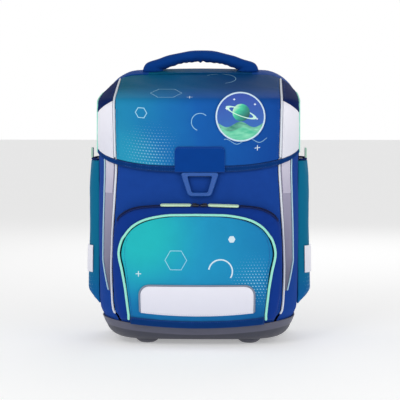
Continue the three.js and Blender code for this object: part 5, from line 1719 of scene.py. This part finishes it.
# Section of the ring's bar. across: share from its outer to its inner outline. deep: share of RING_THICKNESS.
RING_SECTION = [
    dict(across=0.0, deep=0.05),
    dict(across=0.0, deep=0.7),
    dict(across=0.05, deep=0.86),
    dict(across=0.14, deep=0.97),
    dict(across=0.24, deep=1.0),
    dict(across=0.34, deep=0.9),
    dict(across=0.66, deep=0.9),
    dict(across=0.76, deep=1.0),
    dict(across=0.88, deep=0.97),
    dict(across=0.96, deep=0.86),
    dict(across=1.0, deep=0.7),
    dict(across=1.0, deep=0.05),
    dict(across=0.9, deep=0.0),
    dict(across=0.1, deep=0.0),
]


def lock_ring():
    """The lock's ring: a rounded bar round a trapezium hole, with a raised inner edge."""
    slope = (RING_TOP_WIDTH - RING_BOTTOM_WIDTH) / RING_HEIGHT
    outer = trapezium(RING_TOP_WIDTH, RING_BOTTOM_WIDTH, RING_HEIGHT, 0.8 * RING_CORNER)
    hole = trapezium(
        RING_TOP_WIDTH - RING_BAR * (2 + slope) - 3,
        RING_BOTTOM_WIDTH - RING_BAR * (2 - slope) - 1.5,
        RING_HEIGHT - 1.7 * RING_BAR,
        RING_CORNER / 2.5,
    )
    count = len(outer)
    rings = []
    for row in RING_SECTION:
        edge = between(outer, hole, row["across"])
        rings.append(np.column_stack([edge[:, 0], np.full(count, -row["deep"] * RING_THICKNESS), edge[:, 1]]))
    middle = HEM_HEIGHT - GAP - RING_HEIGHT / 2
    seat = seat_on_front(LOCK_SHIFT, middle, RING_TOP_WIDTH / 2, RING_HEIGHT / 2, FLAP_CLEARANCE)
    points = np.concatenate(moved(rings, seat))
    faces = []
    for ring in range(len(rings)):
        for side in range(count):
            low, high = ring * count, (ring + 1) % len(rings) * count
            other = (side + 1) % count
            faces.append((low + side, low + other, high + other, high + side))
    add_piece("lock_ring_bar", points, faces, ring_plastic, ["lock_ring"], front_cloth([points], 2))


lock_ring()


def lock_catch():
    """The catch plate, flat on the wall behind the ring."""
    half_width, half_height = CATCH_WIDTH / 2, CATCH_HEIGHT / 2
    rings = solid_rings(trapezium(CATCH_WIDTH, CATCH_WIDTH, CATCH_HEIGHT, CATCH_CORNER), CATCH_THICKNESS, 0.6)
    seat = seat_on_front(LOCK_SHIFT, HEM_HEIGHT + half_height - RING_BAR, half_width, half_height, 0)
    loft("catch_plate", moved(rings, seat), catch_plastic, ["lock_catch"], front_cloth(rings, 2))


lock_catch()


# Side pockets


def side_pocket_face(side, base=0.0):
    """Outer face of a side pocket: u from its front edge to its back edge, v from its foot to its mouth."""

    def face(u, v, outwards=0.0):
        section = wall_section(between(SIDE_POCKET_BOTTOM, SIDE_POCKET_TOP, v))
        first = corner_span(section) + section.reach - CORNER_RADIUS - (BODY_DEPTH - SIDE_POCKET_FRONT)
        last = full_span(section) - SIDE_POCKET_BACK
        edge = 1 - np.abs(2 * u - 1) ** 5
        bulge = SIDE_POCKET_BULGE * look_up(SIDE_POCKET_ROWS, "up", "out", v) * edge
        return on_bag(section, side * between(first, last, u), GAP + bulge + base + outwards)

    return face


def pocket_height_share(height):
    return (height - SIDE_POCKET_BOTTOM) / (SIDE_POCKET_TOP - SIDE_POCKET_BOTTOM)


def gathered(across, along, width, height):
    """Folds that run up from the gathered foot and down from the elastic mouth."""
    folds = np.sin(across / 5.2 + 0.9 * np.sin(across / 13))
    foot = np.exp(-along / 26) * (1 - np.exp(-along / 4))
    mouth = np.exp(-(height - along) / 20)
    return sewn(2.5, 0.2, 0.9)(across, along, width, height) + 1.1 * folds * foot + 0.7 * folds * mouth


for label, side in SIDES.items():
    pocket = side_pocket_face(side, POCKET_WALL)
    panel(f"side_pocket_cloth_{label}", pocket, POCKET_WALL, side_print, [f"side_pocket_{label}"], gathered, 3)

    def label_face(u, v, outwards=0.0, side=side):
        height = between(SIDE_LABEL_BOTTOM, SIDE_LABEL_TOP, v)
        along = between(SIDE_LABEL_FRONT, SIDE_LABEL_BACK, u)
        lift = 4 * GAP + OVERLAY + outwards
        return side_pocket_face(side, POCKET_WALL)(along, pocket_height_share(height), lift)

    panel(f"side_film_{label}", label_face, OVERLAY, white_film, [f"side_label_{label}"], sewn(1.5, 0.1, 0.2), 3, 0.4)

    line = np.linspace(0, 1, 60)
    rim = side_pocket_face(side, POCKET_WALL / 2)(line, np.ones(60))
    rim[:, 0] = side * np.maximum(np.abs(rim[:, 0]), BODY_HALF_WIDTH + PIPING_RADIUS + GAP)
    rim[:, 2] = SIDE_POCKET_TOP + PIPING_RADIUS + GAP
    cord_piece(f"side_binding_{label}", rim, PIPING_RADIUS, navy, [f"side_pocket_binding_{label}"])


# Side tabs, folded cloth loops over the pocket's binding


def side_tab(label):
    lowest, highest = (np.array(corner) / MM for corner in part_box(f"side_tab_{label}"))
    middle = (lowest + highest) / 2 - (0, BACK_PLANE / MM, 0)
    width, deep, tall = highest - lowest
    outline = trapezium(width, width, tall, width / 2.2, 6)
    rings = shifted(solid_rings(outline, deep, 0.4, 3), middle[0], middle[1] + deep / 2, middle[2])
    cloth = np.concatenate([np.column_stack([ring[:, 1], ring[:, 2], np.full(len(ring), 3)]) for ring in rings])
    loft(f"side_loop_{label}", rings, tab_ribbon, [f"side_tab_{label}"], cloth)


tab_ribbon = cloth_look("tab_ribbon", "pull_plastic", "bfe6cd", pitch=1.1, depth=0.12)
for label in SIDES:
    side_tab(label)


# Grip


def lid_top(x, y, outwards):
    """Height of the lid's outer face over places in plan."""
    low, high = np.zeros_like(x), np.full_like(x, LID_RUN)
    for _ in range(24):
        run = (low + high) / 2
        section = section_at(run)
        ahead = on_bag(section, span_at(section, np.abs(x)), outwards)[:, 1] < y
        low, high = np.where(ahead, run, low), np.where(ahead, high, run)
    section = section_at(low)
    return on_bag(section, span_at(section, np.abs(x)), outwards)[:, 2]


def grip():
    """A padded tube, gathered along the seam under it, with a fold under its middle."""
    sides = 44
    feet = [[row[key] for key in ("x", "up", "wide", "tall")] for row in GRIP_SECTIONS]
    mirrored = [[-x, up, -wide, tall] for x, up, wide, tall in reversed(feet[1:])]
    sections = through(mirrored + feet, 1.2)
    seat = float(lid_top(np.array([feet[-1][0]]), np.array([-1.0 * GRIP_SETBACK]), FLAP_TOP)[0]) + GAP
    run = length_along(sections[:, :2])
    angles = np.linspace(0, 2 * math.pi, sides, endpoint=False)
    under = np.clip(-np.cos(angles), 0, 1) ** 3
    rings, cloth = [], []
    for (x, up, wide, tall), spot in zip(sections, run):
        from_end = min(spot, run[-1] - spot)
        from_middle = abs(spot - run[-1] / 2)
        pucker = 0.45 * np.sin(spot / 1.7 + 1.4 * np.sin(spot / 9)) * under
        pleat = 1.9 * math.exp(-((from_middle / 2.0) ** 2)) - 1.2 * math.exp(-(((from_middle - 4.6) / 2.2) ** 2))
        groove = -1.1 * np.exp(-(((angles - math.pi) / 0.16) ** 2))
        slack = 0.3 * math.sin(spot / 11) + 0.25 * math.sin(spot / 5.3 + 2)
        fold = 0.45 * np.sin(3 * angles + spot / 14) * math.exp(-from_end / 30)
        calm = smoothstep(from_end, 3, 14)
        shift = (pucker + pleat * under + groove + slack + fold) * calm
        thick = math.hypot(wide, tall)
        across = (thick + shift) * np.cos(angles)
        deep = (GRIP_DEPTH / 2 + shift) * np.sin(angles)
        ring_x = x + wide / thick * across
        ring_y = deep - GRIP_SETBACK
        lid = lid_top(ring_x, np.minimum(ring_y, -1), FLAP_TOP) + GAP
        ring_z = np.maximum(seat + up + tall / thick * across, lid + max(up, 0) / 10)
        rings.append(np.column_stack([ring_x, ring_y, ring_z if from_end > 0 else lid]))
        cloth.append(np.column_stack([angles * tall, np.full(sides, spot), np.full(sides, 6)]))
    return loft("grip_cover", rings, grip_cloth, ["handle_grip"], np.concatenate(cloth))


grip()


# Back pads


def pad_face(low, high, half):
    """A pad with rounded corners: u across and v up, crowned between its edges."""

    def face(u, v, outwards=0.0):
        z = between(low, high, v)
        end = np.clip(PAD_CORNER - np.minimum(z - low, high - z), 0, PAD_CORNER)
        narrow = PAD_CORNER - np.sqrt(np.maximum(PAD_CORNER**2 - end**2, 0))
        x = between(-1, 1, u) * (half - narrow)
        return np.stack(np.broadcast_arrays(x, PAD_BACK + 1.2 + outwards, z), axis=-1)

    return face


def pad_relief(channels):
    """Foam that rises from the bound edge and sinks in sewn channels, at those shares of the width."""

    def relief(across, along, width, height):
        border = np.minimum.reduce([across, width - across, along, height - along])
        rise = (PAD_THICKNESS - 1.2) * (1 - (1 - np.clip(border / 20, 0, 1)) ** 2.6)
        for share in channels:
            line = share * width + 6 * np.sin(along / height * math.pi) * np.sign(share - 0.5)
            rise = rise * (1 - 0.55 * np.exp(-(((across - line) / 3.2) ** 2)) * smoothstep(border, 3, 16))
        return rise + 0.25 * ripple(across, along) * smoothstep(border, 4, 12)

    return relief


for name, low, high, inset, channels in (
    ("upper", PAD_SPLIT + PAD_CHANNEL / 2, PAD_TOP, 0, (0.3, 0.7)),
    ("lower", PAD_BOTTOM, PAD_SPLIT - PAD_CHANNEL / 2, PAD_LOWER_INSET, (0.28, 0.72)),
):
    pad = pad_face(low, high, PAD_HALF_WIDTH - inset)
    made = panel(f"back_pad_{name}_mesh", pad, 1.2, mesh_cloth, [f"back_pad_{name}"], pad_relief(channels), 3.2, 1.0)


# Shoulder straps, adjusters and webbing


def band_frames(points, spacing):
    """Evenly spaced places along a band that stays level across its width: place, across and normal."""
    line = through(points, spacing)
    tangents = np.gradient(line, axis=0)
    tangents /= np.linalg.norm(tangents, axis=1)[:, None]
    across = np.array([1.0, 0, 0]) - tangents * tangents[:, :1]
    across /= np.linalg.norm(across, axis=1)[:, None]
    normal = np.cross(across, tangents)
    return line, across, normal / np.linalg.norm(normal, axis=1)[:, None]


def band_piece(name, points, section, spacing, look, nodes):
    """A band whose section is a closed outline of (across, out) places."""
    line, across, normal = band_frames(points, spacing)
    run = length_along(line)
    rings, cloth = [], []
    for k, spot in enumerate(run):
        outline = section(spot, run[-1])
        rings.append(line[k] + np.outer(outline[:, 0], across[k]) + np.outer(outline[:, 1], normal[k]))
        border = np.full(len(outline), min(spot, run[-1] - spot) + 0.5)
        cloth.append(np.column_stack([outline[:, 0], np.full(len(outline), spot), border]))
    return loft(name, rings, look, nodes, np.concatenate(cloth))


def strap_section(spot, length):
    """A padded strap: a flat bound edge and a quilted middle that narrows to its lower end."""
    end = min(spot, length - spot)
    half = STRAP_WIDTH / 2 * (1 - 0.35 * smoothstep(spot, length - 55, length))
    tip = math.sqrt(max(1 - (1 - min(end / 10, 1)) ** 2, 0.02))
    shares = np.sin(np.linspace(-math.pi / 2, math.pi / 2, 25))
    rise = STRAP_THICKNESS / 2 * (0.3 + 0.7 * smoothstep(1 - np.abs(shares), 0.07, 0.36)) * (0.4 + 0.6 * tip)
    rise = rise * (1 - 0.4 * np.exp(-(((np.abs(shares) - 0.52) / 0.07) ** 2)))
    x = shares * half * (0.7 + 0.3 * tip)
    top = np.stack([x, rise], axis=-1)
    under = np.stack([x[::-1], -rise[::-1]], axis=-1)
    return np.concatenate([top, under[1:-1]])


def webbing_section(spot, length):
    half, thick = WEBBING_WIDTH / 2, WEBBING_THICKNESS / 2
    shares = np.linspace(-1, 1, 13)
    rib = 1 - 0.12 * (np.arange(13) % 2)
    rise = thick * rib * np.where(np.abs(shares) > 0.99, 0.35, 1)
    top = np.stack([shares * half, rise], axis=-1)
    return np.concatenate([top, np.stack([shares[::-1] * half, -rise[::-1]], axis=-1)[1:-1]])


def adjuster_piece(name, middle, crosswise, out, upwards, node):
    """A plastic ladder: a rounded frame with a middle bar."""
    x = (WEBBING_WIDTH + 3 * ADJUSTER_BAR - ADJUSTER_SIDE) / 2
    z = (ADJUSTER_LENGTH - ADJUSTER_BAR) / 2
    stations, sides = 9, 12
    bars = [
        ((-x, -z), (-x, z), ADJUSTER_SIDE),
        ((x, -z), (x, z), ADJUSTER_SIDE),
        ((-x, z), (x, z), ADJUSTER_BAR),
        ((-x, -z), (x, -z), ADJUSTER_BAR),
        ((-x, 0.0), (x, 0.0), ADJUSTER_BAR),
    ]
    turn = Matrix((crosswise, out, upwards)).transposed().to_4x4()
    seat = Matrix.Translation(Vector(middle)) @ turn
    points, faces = [], []
    for (x0, z0), (x1, z1), width in bars:
        line = np.linspace((x0, 0, z0), (x1, 0, z1), stations)
        rings = tube_rings(line, np.full(stations, width / 2), sides, hint=(0, 1, 0.001))
        rings[..., 1] *= ADJUSTER_THICKNESS / width
        start = len(points)
        points += [*np.concatenate(moved(rings, seat))]
        for low in range(start, start + (stations - 1) * sides, sides):
            for side in range(sides):
                high, other = low + sides, (side + 1) % sides
                faces.append((low + side, low + other, high + other, high + side))
        faces.append(tuple(range(start + sides - 1, start - 1, -1)))
        faces.append(tuple(range(start + (stations - 1) * sides, start + stations * sides)))
    return add_piece(name, np.array(points), faces, buckle_plastic, [node])


def webbing_path(middle, upwards, out):
    """From the foot of the back, behind the ladder, round its middle bar and down again to the free tail."""
    layer = ADJUSTER_THICKNESS / 2 + WEBBING_THICKNESS / 2 + GAP
    slot_middle = ((ADJUSTER_LENGTH - 3 * ADJUSTER_BAR) / 2 + ADJUSTER_BAR) / 2
    foot = np.array([middle[0], PAD_BACK + WEBBING_THICKNESS, WEBBING_FOOT])

    def beside(along, lift):
        return middle + upwards * along + out * lift

    return [
        foot,
        (foot + beside(-ADJUSTER_LENGTH, -layer)) / 2,
        beside(-ADJUSTER_LENGTH * 0.7, -layer),
        beside(0, -layer),
        beside(slot_middle - 1, -layer),
        beside(slot_middle + 1, 0),
        beside(slot_middle - 1, layer),
        beside(0, layer),
        beside(-ADJUSTER_LENGTH * 0.7, layer),
        beside(-WEBBING_TAIL, layer + 2),
    ]


def shoulder_strap(label, side):
    """A padded strap, the ladder at its lower end, and the webbing through it."""
    x = [side * (STRAP_SIDE_TOP + STRAP_SPREAD * row["side"]) for row in STRAP_ROUTE]
    y = [STRAP_BOW * row["out"] for row in STRAP_ROUTE]
    z = [STRAP_TOP - STRAP_DROP * row["down"] for row in STRAP_ROUTE]
    route = np.column_stack([x, y, z])
    strap = band_piece(f"strap_pad_{label}", route, strap_section, 3.0, strap_cloth, [f"shoulder_strap_{label}"])

    away = (route[-1] - route[-2]) / np.linalg.norm(route[-1] - route[-2])
    out = np.array([0, -away[2], away[1]]) / math.hypot(away[1], away[2])
    middle = route[-1] + away * (GAP + ADJUSTER_LENGTH / 2)
    crosswise = np.cross(out, -away)
    crosswise /= np.linalg.norm(crosswise)
    adjuster_piece(f"adjuster_frame_{label}", middle, crosswise, out, -away, f"strap_adjuster_{label}")

    path = webbing_path(middle, -away, out)
    nodes = [f"strap_webbing_{label}"]
    webbing = band_piece(f"webbing_band_{label}", path, webbing_section, WEBBING_STEP, webbing_cloth, nodes)
    length = length_along(through(path, WEBBING_STEP))[-1]


for label, side in SIDES.items():
    shoulder_strap(label, side)


# Thread

seams(
    "stitches_pale",
    [
        (band_face, 2.0, ["left", "right", "bottom"]),
        *[(film_faces[label], 2.4, ["left", "right"]) for label in SIDES],
    ],
    pale_thread,
)
seams(
    "stitches_blue",
    [
        (flap_face, STITCH_INSET, ["left", "right"]),
        (pocket_face, STITCH_INSET, ["left", "right"]),
        (front_face, STITCH_INSET, ["left", "right"]),
        (flap_hem_face, 2.0, ["top", "bottom"]),
        (hem_face, 2.0, ["top"]),
        (tab_face, 2.2, ["left", "right", "top"]),
        (strip_face, STITCH_INSET, ["bottom", "top"]),
        *[(wing_faces[label], STITCH_INSET, ["left", "right"]) for label in SIDES],
        (gusset_outside, 2.5, ["left"]),
    ],
    blue_thread,
)

# Stage: floor, light and camera


def stage():
    """A plain pale floor."""
    mesh = bpy.data.meshes.new("floor")
    corners = [(x * FLOOR_REACH, y * FLOOR_REACH, 0) for x, y in ((-1, -1), (1, -1), (1, 1), (-1, 1))]
    mesh.from_pydata(corners, [], [(0, 1, 2, 3)])
    floor = bpy.data.objects.new("floor", mesh)
    bpy.context.scene.collection.objects.link(floor)
    paper = bpy.data.materials.new("paper")
    paper.use_nodes = True
    shader = paper.node_tree.nodes["Principled BSDF"]
    shader.inputs["Base Color"].default_value = (0.9, 0.9, 0.9, 1)
    shader.inputs["Emission Color"].default_value = (1, 1, 1, 1)
    shader.inputs["Emission Strength"].default_value = 0.32
    shader.inputs["Roughness"].default_value = 0.9
    shader.inputs["Specular IOR Level"].default_value = 0.1
    mesh.materials.append(paper)


def studio():
    """White round the horizon and dimmer overhead."""
    world = bpy.data.worlds.new("studio")
    world.use_nodes = True
    tree = world.node_tree
    direction = tree.nodes.new("ShaderNodeTexCoord")
    split = tree.nodes.new("ShaderNodeSeparateXYZ")
    ramp = tree.nodes.new("ShaderNodeValToRGB")
    tree.links.new(direction.outputs["Generated"], split.inputs[0])
    tree.links.new(split.outputs["Z"], ramp.inputs[0])
    tree.links.new(ramp.outputs[0], tree.nodes["Background"].inputs["Color"])
    for stop, position, level in zip(ramp.color_ramp.elements, (0.25, 0.8), (1.0, SKY_LEVEL)):
        stop.position = position
        stop.color = (level, level, level, 1)
    bpy.context.scene.world = world
    bpy.context.scene.view_settings.view_transform = "Standard"


def area_light(name, where, target, size, power):
    data = bpy.data.lights.new(name, "AREA")
    data.energy = power
    data.size = size
    light = bpy.data.objects.new(name, data)
    light.location = where
    light.rotation_euler = (Vector(target) - Vector(where)).to_track_quat("-Z", "Y").to_euler()
    bpy.context.scene.collection.objects.link(light)


def camera():
    azimuth, elevation = math.radians(CAMERA_AZIMUTH), math.radians(CAMERA_ELEVATION)
    level = math.cos(elevation)
    back = Vector((math.sin(azimuth) * level, -math.cos(azimuth) * level, math.sin(elevation)))
    data = bpy.data.cameras.new("camera")
    data.lens = CAMERA_LENS
    eye = bpy.data.objects.new("camera", data)
    eye.location = Vector(CAMERA_TARGET) + back * CAMERA_DISTANCE
    eye.rotation_euler = (-back).to_track_quat("-Z", "Y").to_euler()
    bpy.context.scene.collection.objects.link(eye)
    bpy.context.scene.camera = eye


stage()
studio()
area_light("key", (-0.7, -1.5, 1.2), (0, 0, 0.22), 0.7, 6)
area_light("fill", (1.2, -1.3, 0.9), (0, 0, 0.2), 0.9, 3)
area_light("back", (0.3, 1.6, 1.2), (0, 0, 0.25), 1.0, 5)
camera()
